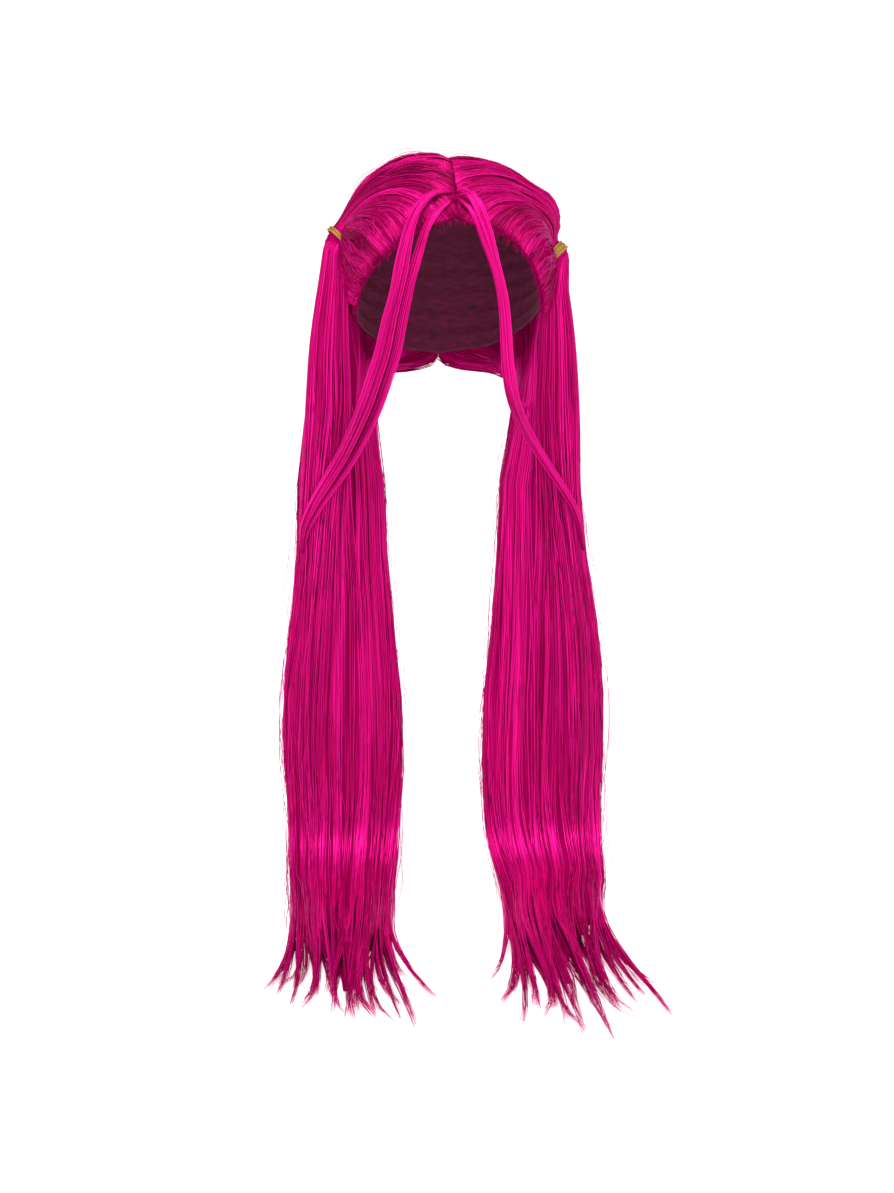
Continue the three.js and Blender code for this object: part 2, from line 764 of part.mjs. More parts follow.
addPiece("wig_cap", capSolid(), capMaterial);
const head = headClearance();
for (const side of ["right", "left"]) {
  const strand = loft(strandRings(side));
  const strandAir = loft(strandRings(side), clearance);
  const tied = tiedSolid(side);
  const tiedAir = tiedSolid(side, clearance);
  const elastic = elasticSolid(side);
  const elasticAir = elasticSolid(side, clearance);
  let long = loft(longRings(side));
  for (const row of lockRows[side]) long = long.add(lockSolid(side, row));
  long = long.subtract(head).subtract(tiedAir).subtract(elasticAir).subtract(strandAir);
  const tiedCut = tied.subtract(head).subtract(elasticAir).subtract(strandAir);
  addPiece("tied_section_" + side, tiedCut, hairMaterial);
  addPiece("elastic_" + side, elastic, elasticMaterial);
  addPiece("long_hair_" + side, long, hairMaterial);
  addPiece("front_strand_" + side, strand.subtract(head), hairMaterial);
}

export default wig;
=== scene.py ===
# %% [markdown]
# A long straight magenta wig. The part's frame gives the solids; this file dresses them.
# Hair is thousands of fibres lying side by side. Here each tress gets a skin painted dark,
# which is painted shade for its shaded inside, and layers of thin strands that follow the same
# flow, so that gloss breaks into streaks as it does on real fibre. All lengths are metres, in the
# frame's own axes: +Z up, -Y to the front, +X to the wearer's left, origin at the inside top of the
# cap.

import bpy
import math
import numpy as np
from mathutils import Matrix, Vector


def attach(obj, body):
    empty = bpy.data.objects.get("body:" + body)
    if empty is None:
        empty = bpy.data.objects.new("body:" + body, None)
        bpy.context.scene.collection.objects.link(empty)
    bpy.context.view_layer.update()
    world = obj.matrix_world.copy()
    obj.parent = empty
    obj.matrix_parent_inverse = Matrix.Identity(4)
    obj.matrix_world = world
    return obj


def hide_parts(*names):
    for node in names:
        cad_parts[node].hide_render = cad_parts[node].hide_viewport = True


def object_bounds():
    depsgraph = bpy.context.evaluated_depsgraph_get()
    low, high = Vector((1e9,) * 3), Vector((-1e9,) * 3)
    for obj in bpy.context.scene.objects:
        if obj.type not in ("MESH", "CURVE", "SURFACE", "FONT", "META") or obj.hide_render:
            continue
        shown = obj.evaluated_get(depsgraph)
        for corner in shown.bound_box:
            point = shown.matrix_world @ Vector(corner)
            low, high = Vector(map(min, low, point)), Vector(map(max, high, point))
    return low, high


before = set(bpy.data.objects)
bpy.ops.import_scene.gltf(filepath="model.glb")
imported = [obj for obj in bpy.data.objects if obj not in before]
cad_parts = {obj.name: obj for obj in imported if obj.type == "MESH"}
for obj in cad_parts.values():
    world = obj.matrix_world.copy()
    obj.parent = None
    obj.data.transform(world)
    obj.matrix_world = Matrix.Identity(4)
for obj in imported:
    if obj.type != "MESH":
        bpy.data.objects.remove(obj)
cad_low, cad_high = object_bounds()
CAD_BOX = [list(cad_low), list(cad_high)]
FLOOR = CAD_BOX[0][2]
bpy.ops.object.select_all(action="DESELECT")
print("nodes", sorted(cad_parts), "floor at", round(FLOOR, 3))

# %% [markdown]
# The camera stands almost 2 m in front of the wig, level with the top of the cap, and looks
# down at it. The wig is turned a little, so the camera is 5 degrees round to its right.

# %% Camera
CAMERA_DISTANCE = 1.84
CAMERA_HEIGHT = -0.003
CAMERA_AZIMUTH = math.radians(-5)
CAMERA_PITCH = math.radians(11.15)
FOCAL_PIXELS = 2150
FRAME_PIXELS = 1193
SENSOR = 36

camera_data = bpy.data.cameras.new("camera")
camera_data.sensor_fit = "VERTICAL"
camera_data.sensor_height = SENSOR
camera_data.lens = FOCAL_PIXELS / FRAME_PIXELS * SENSOR
camera = bpy.data.objects.new("camera", camera_data)
bpy.context.collection.objects.link(camera)
camera.location = (
    math.sin(CAMERA_AZIMUTH) * CAMERA_DISTANCE,
    -math.cos(CAMERA_AZIMUTH) * CAMERA_DISTANCE,
    CAMERA_HEIGHT,
)
camera.rotation_euler = (math.pi / 2 - CAMERA_PITCH, 0, CAMERA_AZIMUTH)
bpy.context.scene.camera = camera
print("lens", round(camera_data.lens, 1), "mm")

# %% [markdown]
# A white table that runs on to the horizon, and air that is white near the horizon and
# dimmer overhead. Gloss on a fibre is a mirror image of what lies round it, so the dimmer
# part leaves dark streaks between the bright ones that the lights make. The key light is a
# sun as wide as a softbox, because only a sun lights the whole table evenly. The plain
# Standard transform shows the colours, because a filmic curve would grey the strong pink.

# %% Table, air and lights
TABLE_SIZE = 160
TABLE_GAP = 0.0005
TABLE_COLOUR = (0.9, 0.9, 0.905, 1)
TABLE_ROUGHNESS = 0.6
TABLE_GLOW = 0.45
WHITE = (1, 1, 1, 1)
AIR_FADE = {"From Min": 0.10, "From Max": 0.45, "To Min": 1.06, "To Max": 0.34}
KEY_POWER = 2.5
KEY_WIDTH = math.radians(30)
KEY_PLACE = (-0.7, -2.0, 2.2)
KEY_AIM = (0, 0, -0.3)
# Each softbox: its power, its size, where it is and where it points
SOFTBOXES = {
    "top softbox": (15, (1.2, 0.6), (0.1, -0.5, 1.4), (0, 0, -0.1)),
    "front softbox": (4, (1.6, 0.5), (0.3, -2.6, -0.1), (0, 0, -0.3)),
    "low softbox": (9, (1.4, 0.9), (0, -1.1, 0.4), (0, -0.15, -0.6)),
    "left strip": (7, (0.3, 1.4), (-1.7, -0.6, 0.2), (0, 0, -0.3)),
    "right strip": (7, (0.3, 1.4), (1.7, -0.6, 0.2), (0, 0, -0.3)),
}

scene = bpy.context.scene
scene.view_settings.view_transform = "Standard"
scene.view_settings.look = "None"

bpy.ops.mesh.primitive_plane_add(size=TABLE_SIZE, location=(0, 0, FLOOR - TABLE_GAP))
table = bpy.context.object
table.name = "table"
table_material = bpy.data.materials.new("white table")
table_material.use_nodes = True
table_shader = table_material.node_tree.nodes["Principled BSDF"]
table_shader.inputs["Base Color"].default_value = TABLE_COLOUR
table_shader.inputs["Roughness"].default_value = TABLE_ROUGHNESS
table_shader.inputs["Emission Color"].default_value = WHITE
table_shader.inputs["Emission Strength"].default_value = TABLE_GLOW
table.data.materials.append(table_material)

world = bpy.data.worlds.new("white air")
scene.world = world
world.use_nodes = True
air = world.node_tree
background = air.nodes["Background"]
background.inputs["Color"].default_value = WHITE
place = air.nodes.new("ShaderNodeTexCoord")
height = air.nodes.new("ShaderNodeSeparateXYZ")
fade = air.nodes.new("ShaderNodeMapRange")
for label, value in AIR_FADE.items():
    fade.inputs[label].default_value = value
air.links.new(place.outputs["Generated"], height.inputs[0])
air.links.new(height.outputs["Z"], fade.inputs["Value"])
air.links.new(fade.outputs["Result"], background.inputs["Strength"])


def add_light(name, kind, power, place, aim):
    light = bpy.data.lights.new(name, kind)
    light.energy = power
    lamp = bpy.data.objects.new(name, light)
    bpy.context.collection.objects.link(lamp)
    lamp.location = place
    lamp.rotation_euler = (Vector(aim) - Vector(place)).to_track_quat("-Z", "Y").to_euler()
    return light


add_light("key", "SUN", KEY_POWER, KEY_PLACE, KEY_AIM).angle = KEY_WIDTH
for name, (power, size, place, aim) in SOFTBOXES.items():
    light = add_light(name, "AREA", power, place, aim)
    light.shape = "RECTANGLE"
    light.size, light.size_y = size

# %% [markdown]
# The sizes below are the part's own, in metres, so that each tress lies where its solid is.

# %% Sizes of the head form, the cap and the hair
HALF_BREADTH = 0.077
HALF_LENGTH = 0.098
HEAD_RISE = 0.096
HEAD_DROP = 0.112
HEAD_POWER = 2.3
CENTRE = np.array([0, 0, -HEAD_RISE])
CAP_WALL = 0.002
AIR = 0.0004
CROWN_DEPTH = 0.010
SIDE_DEPTH = 0.016
ROLL_DEPTH = 0.007
BACK_DEPTH = 0.012
PART_HALF = 0.0008
BUNCH_RADIUS = 0.009
BUNCH_STANDOFF = {"right": 0.018, "left": 0.013}
BUNCH_AZIMUTH = 78
BUNCH_ELEVATION = {"right": 23, "left": 16}
BUNCH_TILT = 41
CORD_RADIUS = 0.0011
CORD_TURNS = {"right": 2, "left": 4}
CORD_PITCH = 0.0019
HAIR_OUT = 0.065
REACH = HALF_BREADTH + HAIR_OUT
SIDES = ("right", "left")
SIGN = {"right": -1, "left": 1}
SEED = 7
random = np.random.default_rng(SEED)

# %% [markdown]
# Flow is worked out on the head form: a direction from the middle of the head, and a depth
# over the cap. Two directions are joined along the great circle between them, which is the
# way combed hair takes round a head.

# %% Directions and points on the head form
SMALLEST_LENGTH = 1e-12
SMALLEST_ANGLE = 1e-6


def direction(azimuth, elevation):
    around, above = np.radians(azimuth), np.radians(elevation)
    level = np.cos(above)
    return np.stack([np.sin(around) * level, -np.cos(around) * level, np.sin(above)], -1)


def unit(vectors):
    length = np.linalg.norm(vectors, axis=-1, keepdims=True)
    return vectors / np.maximum(length, SMALLEST_LENGTH)


def turned(start, end, share):
    share = np.asarray(share, float)[..., None]
    angle = np.arccos(np.clip((start * end).sum(-1, keepdims=True), -1, 1))
    angle = np.maximum(angle, SMALLEST_ANGLE)
    return unit(np.sin((1 - share) * angle) * start + np.sin(share * angle) * end)


def bent_way(starts, bends, ends, share):
    return turned(turned(starts, bends, share), turned(bends, ends, share), share)


def head_point(toward, depth):
    depth = np.broadcast_to(np.asarray(depth, float), toward.shape[:-1])
    up = np.where(toward[..., 2] > 0, HEAD_RISE, HEAD_DROP)
    reach = np.stack([HALF_BREADTH + depth, HALF_LENGTH + depth, up + depth], -1)
    total = (np.abs(toward / reach) ** HEAD_POWER).sum(-1)
    return toward * (total ** (-1 / HEAD_POWER))[..., None] + CENTRE


def smoothstep(value, low, high):
    share = np.clip((np.asarray(value, float) - low) / (high - low), 0, 1)
    return share * share * (3 - 2 * share)


def columns(rows, place):
    rows = np.array(rows, float)
    return [np.interp(place, rows[:, 0], rows[:, k]) for k in range(1, rows.shape[1])]


def on_side(side, points):
    return points * np.array([SIGN[side], 1, 1])


print("side of the cap", head_point(direction(90, 0), CAP_WALL).round(4))

# %% [markdown]
# A tress is a stack of rings. In a closed ring the first half of the points is the side that
# shows, and the second half comes back along the side toward the head. A smooth curve through
# the rings gives a fine sheet, and strands are read off it at any place along and around,
# lifted along its normals.

# %% Sheets and places on them
FULL_TURN = 360


def ring_angles(start, end, half, circle):
    step = (start + circle - end) / (half + 1)
    back = end + step * np.arange(1, half + 1)
    return np.radians(np.concatenate([np.linspace(start, end, half), back]))


def smooth_sheet(rings, steps):
    rings = np.asarray(rings)
    gaps = np.linalg.norm(np.diff(rings, axis=0), axis=-1).mean(1)
    knots = np.concatenate([[0], np.cumsum(gaps)])
    secants = np.diff(rings, axis=0) / gaps[:, None, None]
    slopes = np.empty_like(rings)
    slopes[0], slopes[-1] = secants[0], secants[-1]
    before, after = gaps[:-1, None, None], gaps[1:, None, None]
    slopes[1:-1] = (secants[:-1] * after + secants[1:] * before) / (before + after)
    places = np.linspace(0, knots[-1], steps)
    k = np.clip(np.searchsorted(knots, places, "right") - 1, 0, len(gaps) - 1)
    width = gaps[k][:, None, None]
    s = ((places - knots[k]) / gaps[k])[:, None, None]
    sheet = (2 * s**3 - 3 * s**2 + 1) * rings[k] + (s**3 - 2 * s**2 + s) * width * slopes[k]
    sheet += (3 * s**2 - 2 * s**3) * rings[k + 1] + (s**3 - s**2) * width * slopes[k + 1]
    return sheet, knots / knots[-1]


def outward(sheet, closed):
    along = np.gradient(sheet, axis=0)
    if closed:
        middle = sheet.mean(axis=1, keepdims=True)
        around = np.roll(sheet, -1, axis=1) - np.roll(sheet, 1, axis=1)
    else:
        middle = CENTRE
        around = np.gradient(sheet, axis=1)
    normals = unit(np.cross(along, around))
    return normals * np.sign(((sheet - middle) * normals).sum())


def read_sheet(sheet, along, around, closed):
    rows, count = sheet.shape[:2]
    row = np.clip(along, 0, 1) * (rows - 1)
    r0 = np.clip(row.astype(int), 0, rows - 2)
    fr = (row - r0)[..., None]
    if closed:
        column = np.mod(around, 1) * count
        c0 = np.floor(column).astype(int)
        fc = (column - c0)[..., None]
        c0, c1 = c0 % count, (c0 + 1) % count
    else:
        column = np.clip(around, 0, 1) * (count - 1)
        c0 = np.clip(column.astype(int), 0, count - 2)
        fc = (column - c0)[..., None]
        c1 = c0 + 1
    low = sheet[r0, c0] * (1 - fc) + sheet[r0, c1] * fc
    high = sheet[r0 + 1, c0] * (1 - fc) + sheet[r0 + 1, c1] * fc
    return low * (1 - fr) + high * fr


def lifted(sheet, along, around, lift, closed):
    points = read_sheet(sheet, along, around, closed)
    normals = unit(read_sheet(outward(sheet, closed), along, around, closed))
    return points + normals * lift[..., None]


# %% [markdown]
# Combed fibre gathers into clumps that wander together, and each strand wanders a little by
# itself. Both are sums of three slow waves with random phases and rates.

# %% Slow random waves
WAVE_WEIGHTS = (0.55, 0.3, 0.15)
WAVE_RATES = (1.0, 2.1, 3.7)
RATE_RANGE = (0.7, 1.3)


def sway(count, which, places):
    phases = random.uniform(0, 2 * np.pi, (count, len(WAVE_RATES)))
    rates = random.uniform(*RATE_RANGE, (count, len(WAVE_RATES))) * WAVE_RATES
    total = 0
    for k, weight in enumerate(WAVE_WEIGHTS):
        turn = 2 * np.pi * rates[which, k][:, None] * places
        total = total + weight * np.sin(phases[which, k][:, None] + turn)
    return total


# %% [markdown]
# Meshes are filled from arrays, because a tress has tens of thousands of faces that all come
# from one formula. A skin is a closed sheet; a strand is a thin three-sided tube that tapers
# to both ends. The flow map holds U, which is a place across a skin or a strand's own tone,
# and V, which is the place along it.

# %% Mesh builders
NO_TRIANGLES = np.zeros((0, 3), int)
CORNER_ANGLES = (math.pi / 2, math.pi * 7 / 6, math.pi * 11 / 6)
SEED_RISE = 0.3


def facing_out(points, quads, triangles):
    fans = np.concatenate([quads[:, [0, 1, 2]], quads[:, [0, 2, 3]], triangles])
    a, b, c = (points[fans[:, k]] for k in range(3))
    if np.einsum("ij,ij->i", a, np.cross(b, c)).sum() < 0:
        return quads[:, ::-1], triangles[:, ::-1]
    return quads, triangles


def grid(rows, count, length):
    index = np.arange(rows * count).reshape(rows, count)
    right = np.roll(index, -1, axis=1)
    quads = np.stack([index[:-1], right[:-1], right[1:], index[1:]], -1).reshape(-1, 4)
    u, v = np.meshgrid(np.arange(count) / count, np.linspace(0, length, rows))
    return index, right, quads, np.stack([u.ravel(), v.ravel()], -1)


def skin_part(sheet):
    rows, count = sheet.shape[:2]
    index, _, quads, uv = grid(rows, count, 1)
    i = np.arange(count // 2 - 1)
    mate = count - 1 - i
    first = index[0][np.stack([i, mate, mate - 1, i + 1], -1)]
    last = index[-1][np.stack([i, i + 1, mate - 1, mate], -1)]
    points = sheet.reshape(-1, 3)
    quads, _ = facing_out(points, np.concatenate([quads, first, last]), NO_TRIANGLES)
    return points, quads, NO_TRIANGLES, uv, 1


def strand_part(paths, radius, taper, tone):
    n, k = paths.shape[:2]
    tangent = unit(np.gradient(paths, axis=1))
    turn = random.uniform(0, 2 * np.pi, n)
    seed = np.stack([np.cos(turn), np.sin(turn), SEED_RISE * np.ones(n)], -1)
    side = unit(np.cross(tangent, seed[:, None, :]))
    other = np.cross(tangent, side)
    width = (radius[:, None] * taper)[..., None]
    corners = [
        paths + width * (math.cos(angle) * side + math.sin(angle) * other)
        for angle in CORNER_ANGLES
    ]
    points = np.stack(corners, 2).reshape(-1, 3)
    base = (np.arange(n)[:, None] * k + np.arange(k - 1)[None, :]).reshape(-1) * 3
    sides = [
        np.stack([base + a, base + b, base + 3 + b, base + 3 + a], -1)
        for a, b in ((0, 1), (1, 2), (2, 0))
    ]
    start = np.arange(n) * k * 3
    end = start + (k - 1) * 3
    caps = [np.stack([start, start + 2, start + 1], -1), np.stack([end, end + 1, end + 2], -1)]
    quads, caps = facing_out(points, np.concatenate(sides), np.concatenate(caps))
    v = np.broadcast_to(np.linspace(0, 1, k), (n, k))
    tones = np.broadcast_to(tone, (n, k))
    uv = np.stack([np.repeat(tones.ravel(), 3), np.repeat(v.ravel(), 3)], -1)
    return points, quads, caps, uv, 0


def mesh_object(name, parts, materials):
    offsets = np.cumsum([0] + [len(part[0]) for part in parts])
    points = np.concatenate([part[0] for part in parts])
    quads = np.concatenate([part[1] + shift for part, shift in zip(parts, offsets)])
    triangles = np.concatenate([part[2] + shift for part, shift in zip(parts, offsets)])
    uv = np.concatenate([part[3] for part in parts])
    slots = [np.full(len(part[1]), part[4]) for part in parts]
    slots += [np.full(len(part[2]), part[4]) for part in parts]
    loops = np.concatenate([quads.ravel(), triangles.ravel()])
    quad_starts = np.arange(len(quads)) * 4
    triangle_starts = len(quads) * 4 + np.arange(len(triangles)) * 3
    starts = np.concatenate([quad_starts, triangle_starts])
    totals = np.concatenate([np.full(len(quads), 4), np.full(len(triangles), 3)])
    mesh = bpy.data.meshes.new(name)
    mesh.vertices.add(len(points))
    mesh.vertices.foreach_set("co", points.astype(np.float32).ravel())
    mesh.loops.add(len(loops))
    mesh.loops.foreach_set("vertex_index", loops.astype(np.int32))
    mesh.polygons.add(len(starts))
    mesh.polygons.foreach_set("loop_start", starts.astype(np.int32))
    mesh.polygons.foreach_set("loop_total", totals.astype(np.int32))
    mesh.polygons.foreach_set("use_smooth", np.ones(len(starts), bool))
    for material in materials:
        mesh.materials.append(material)
    mesh.polygons.foreach_set("material_index", np.concatenate(slots).astype(np.int32))
    layer = mesh.uv_layers.new(name="flow")
    layer.data.foreach_set("uv", uv[loops].astype(np.float32).ravel())
    mesh.update(calc_edges=True)
    mesh.validate()
    piece = bpy.data.objects.new(name, mesh)
    bpy.context.collection.objects.link(piece)
    print(name, len(quads) * 2 + len(triangles), "triangles")
    return piece


# %% [markdown]
# Synthetic fibre is dyed through, and its gloss takes on the dye's colour. The strands carry
# their own tone in U, and a slow noise along them shifts it. Skins and the cap have no strands
# of their own, so the same group gives them streaks across U.

# %% Streak group
STREAK_DEFAULTS = {"Own Tone": 0.0, "Across": 90.0, "Along": 5.0, "Noise": 0.5}
MID_TONE = 0.5
NOISE_DETAIL = 2

streak_group = bpy.data.node_groups.new("fibre streaks", "ShaderNodeTree")
for label, value in STREAK_DEFAULTS.items():
    socket = streak_group.interface.new_socket(
        name=label, in_out="INPUT", socket_type="NodeSocketFloat"
    )
    socket.default_value = value
streak_group.interface.new_socket(name="Tone", in_out="OUTPUT", socket_type="NodeSocketFloat")
streak_in = streak_group.nodes.new("NodeGroupInput")
streak_out = streak_group.nodes.new("NodeGroupOutput")


def group_math(operation, a, b):
    node = streak_group.nodes.new("ShaderNodeMath")
    node.operation = operation
    for slot, value in enumerate((a, b)):
        if isinstance(value, (int, float)):
            node.inputs[slot].default_value = value
        else:
            streak_group.links.new(value, node.inputs[slot])
    return node.outputs[0]


flow_map = streak_group.nodes.new("ShaderNodeUVMap")
flow_map.uv_map = "flow"
flow_split = streak_group.nodes.new("ShaderNodeSeparateXYZ")
streak_group.links.new(flow_map.outputs[0], flow_split.inputs[0])
flow_join = streak_group.nodes.new("ShaderNodeCombineXYZ")
across = group_math("MULTIPLY", flow_split.outputs["X"], streak_in.outputs["Across"])
along = group_math("MULTIPLY", flow_split.outputs["Y"], streak_in.outputs["Along"])
streak_group.links.new(across, flow_join.inputs["X"])
streak_group.links.new(along, flow_join.inputs["Y"])
streak_noise = streak_group.nodes.new("ShaderNodeTexNoise")
streak_noise.inputs["Scale"].default_value = 1
streak_noise.inputs["Detail"].default_value = NOISE_DETAIL
streak_group.links.new(flow_join.outputs[0], streak_noise.inputs["Vector"])
centred = group_math("SUBTRACT", streak_noise.outputs[0], MID_TONE)
shift = group_math("MULTIPLY", centred, streak_in.outputs["Noise"])
own = group_math("SUBTRACT", flow_split.outputs["X"], MID_TONE)
own = group_math("MULTIPLY", own, streak_in.outputs["Own Tone"])
tone = group_math("ADD", group_math("ADD", shift, own), MID_TONE)
streak_group.links.new(tone, streak_out.inputs["Tone"])
print("streak group", len(streak_group.nodes), "nodes")

# %% [markdown]
# Each material is a ramp of three tones. The strands are glossy and half metallic, so that
# their highlights are coloured. The skins are painted dark as painted shade, the shade that falls
# between and under the strands, and have no gloss, because they are what shows between the
# strands. Skins, net and cord get a shallow relief from the same streaks.

# %% Hair, net and elastic materials
# Skin tones: painted shade, dark pinks that stand for the shade between and under the strands
PAINTED_SHADE_PINK = [(0.13, 0.0, 0.03, 1), (0.22, 0.0, 0.053, 1), (0.33, 0.001, 0.085, 1)]
OUTER_PINK = [(0.19, 0.0, 0.038, 1), (0.43, 0.0006, 0.105, 1), (0.72, 0.005, 0.24, 1)]
NET_PINK = [(0.06, 0.0, 0.018, 1), (0.10, 0.0, 0.03, 1), (0.16, 0.001, 0.05, 1)]
CORD_YELLOW = [(0.11, 0.045, 0.001, 1), (0.24, 0.112, 0.002, 1), (0.35, 0.17, 0.006, 1)]
RAMP_LOW = 0.15
RAMP_HIGH = 0.85
BUMP_STRENGTH = 0.6
FIBRE_GLOSS = {
    "Metallic": 0.5,
    "Specular IOR Level": 0.22,
    "Specular Tint": (1.0, 0.3, 0.95, 1),
}
NO_GLOSS = {"Specular IOR Level": 0.0}


def streaked(name, colours, roughness, settings, bump=0, gloss={}):
    material = bpy.data.materials.new(name)
    material.use_nodes = True
    tree = material.node_tree
    shader = tree.nodes["Principled BSDF"]
    streaks = tree.nodes.new("ShaderNodeGroup")
    streaks.node_tree = streak_group
    for label, value in zip(STREAK_DEFAULTS, settings):
        streaks.inputs[label].default_value = value
    ramp = tree.nodes.new("ShaderNodeValToRGB")
    elements = ramp.color_ramp.elements
    elements[0].position, elements[1].position = RAMP_LOW, RAMP_HIGH
    elements.new(MID_TONE)
    for element, colour in zip(elements, colours):
        element.color = colour
    tree.links.new(streaks.outputs["Tone"], ramp.inputs["Fac"])
    tree.links.new(ramp.outputs["Color"], shader.inputs["Base Color"])
    shader.inputs["Roughness"].default_value = roughness
    for label, value in gloss.items():
        shader.inputs[label].default_value = value
    if bump:
        relief = tree.nodes.new("ShaderNodeBump")
        relief.inputs["Strength"].default_value = BUMP_STRENGTH
        relief.inputs["Distance"].default_value = bump
        tree.links.new(streaks.outputs["Tone"], relief.inputs["Height"])
        tree.links.new(relief.outputs["Normal"], shader.inputs["Normal"])
    return material


fibre = streaked("magenta fibre", OUTER_PINK, 0.26, (0.85, 31, 4, 0.6), gloss=FIBRE_GLOSS)
# The skins' material: painted shade, dark and without gloss
inner = streaked("painted shade fibre", PAINTED_SHADE_PINK, 0.6, (0, 90, 5, 1.6), 0.0006, NO_GLOSS)
net = streaked("knitted net", NET_PINK, 0.85, (0, 70, 60, 1.6), 0.0004)
cord = streaked("yellow elastic", CORD_YELLOW, 0.5, (0, 50, 6, 1.4), 0.0003)
HAIR = [fibre, inner]
print("materials", [item.name for item in (fibre, inner, net, cord)])

# %% [markdown]
# The cap is a thin knitted net. From the front its inside shows through the face opening, with
# the rows of tape that the hair is sewn to. It is one closed shell: the outside from the top
# to the edge, then the inside back up, with a low ridge on the inside for each tape.

# %% The cap
# Azimuth and the edge's elevation there, in degrees
CAP_EDGE = [
    (0, 36),
    (25, 29),
    (42, 17),
    (62, 0),
    (78, -15),
    (95, -19),
    (120, -26),
    (150, -34),
    (180, -37),
]
CAP_MERIDIANS = 96
CAP_ROWS = 76
CAP_TOP = 0.012
CAP_LENGTH = 2
TAPE_ROWS = 13
TAPE_HEIGHT = 0.0009


def cap_shell():
    azimuth = np.arange(CAP_MERIDIANS) * FULL_TURN / CAP_MERIDIANS
    (edge,) = columns(CAP_EDGE, np.minimum(azimuth, FULL_TURN - azimuth))
    share = np.linspace(CAP_TOP, 1, CAP_ROWS)[:, None]
    toward = direction(azimuth[None, :], 90 + (edge[None, :] - 90) * share)
    tapes = np.sqrt(np.maximum(0, np.sin(2 * np.pi * TAPE_ROWS * share))) * TAPE_HEIGHT
    outside = head_point(toward, CAP_WALL - AIR)
    inside = head_point(toward, AIR - tapes * np.ones_like(edge))[::-1]
    sheet = np.concatenate([outside, inside])
    index, right, quads, uv = grid(len(sheet), CAP_MERIDIANS, CAP_LENGTH)
    top = np.full(CAP_MERIDIANS, index.size)
    ends = [np.stack([index[0], top, right[0]], -1)]
    ends.append(np.stack([index[-1], right[-1], top + 1], -1))
    straight_up = direction(0, 90)[None, :]
    poles = [head_point(straight_up, [CAP_WALL - AIR]), head_point(straight_up, [0.0])]
    points = np.concatenate([sheet.reshape(-1, 3)] + poles)
    quads, ends = facing_out(points, quads, np.concatenate(ends))
    return points, quads, ends, np.concatenate([uv, [[0, 0], [0, CAP_LENGTH]]]), 0


cap = mesh_object("cap_net", [cap_shell()], [net])
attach(cap, "root")
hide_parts("wig_cap")

# %% [markdown]
# The long hair comes first, because the tails lie on it. It starts on the centre-back part,
# comes round the side behind the elastic and hangs down to the table. There it bends forward,
# and its ends part into pointed locks. Across and forward, its tables are in shares of REACH
# and of MASS_DEPTH. The skin lies SKIN_INSET inside the solid, which leaves room for strands.

# %% Long hair: tables
# Down the part: elevation at the part, azimuth and elevation at the bend and at the end
BACK_ROWS = [
    (0, 62, 80, 50, 80, -27),
    (0.25, 38, 112, 34, 92, -33),
    (0.5, 10, 138, 6, 106, -38),
    (0.75, -16, 152, -22, 124, -41),
    (1, -37, 162, -41, 144, -43),
]
# Along the way from the part: depth of the back hair, depth of the hair beside the elastic
BACK_DEPTH_ROWS = [
    (0, 0.6, 0),
    (0.08, 0.95, 0),
    (0.24, 1, 0.05),
    (0.42, 0.85, 0.2),
    (0.6, 0.6, 0.45),
    (0.8, 0.25, 1.05),
    (1, 0, 2),
]
BACK_WAYS = (0.0, 0.04, 0.08, 0.16, 0.24, 0.33, 0.42, 0.51, 0.6, 0.7, 0.8, 0.9, 1.0)
UNDER_TIED = 0.5
UNDER_SPAN = 0.2
NAPE_SHARE = 0.4
# Down the mass: outer and inner edge on the right, the same on the left, depth
MASS_ROWS = [
    (0, 0.832, 0.44, 0.765, 0.43, 1.34),
    (0.06, 0.862, 0.401, 0.78, 0.372, 1.26),
    (0.13, 0.88, 0.387, 0.796, 0.334, 1.15),
    (0.21, 0.894, 0.373, 0.845, 0.324, 1.06),
    (0.3, 0.937, 0.338, 0.908, 0.296, 1),
    (0.4, 0.986, 0.303, 0.95, 0.254, 1),
    (0.48, 1, 0.296, 0.958, 0.24, 0.97),
    (0.55, 0.98, 0.317, 0.95, 0.254, 0.9),
    (0.595, 0.98, 0.332, 0.947, 0.265, 0.84),
    (0.64, 0.98, 0.352, 0.94, 0.293, 0.76),
    (0.69, 0.98, 0.38, 0.935, 0.324, 0.66),
    (0.745, 0.98, 0.4, 0.887, 0.317, 0.56),
    (0.82, 0.993, 0.43, 0.845, 0.289, 0.45),
    (0.89, 0.99, 0.458, 0.817, 0.275, 0.34),
    (0.95, 0.94, 0.5, 0.78, 0.3, 0.22),
    (1, 0.86, 0.58, 0.72, 0.37, 0.1),
]
HANG_START = 0.108
MASS_DEPTH = 0.058
MASS_BACK = 0.006
TOP_BACK = 0.016
TOP_SPAN = 0.4
BEND_RADIUS = 0.080
TRAIL_REACH = 0.355
TRAIL_BODY = 0.68
TRAIL_HEIGHT = 0.024
LOBES = 7
LOBE_SHARE = 0.07
LOBE_SPAN = 0.12
LOBE_TWIST = 3
RING_HALF = 36
RING_START = -110
RING_END = 100
LONG_ROWS = 130
SKIN_INSET = 0.0009
THINNEST = 0.0006
FIBRE_REST = 0.0006


def mass_lengths():
    hang = -HEAD_RISE - HANG_START - (FLOOR + TRAIL_HEIGHT / 2 + BEND_RADIUS)
    bend = BEND_RADIUS * math.pi / 2
    trail = TRAIL_REACH * TRAIL_BODY + MASS_BACK - BEND_RADIUS
    return hang, bend, trail


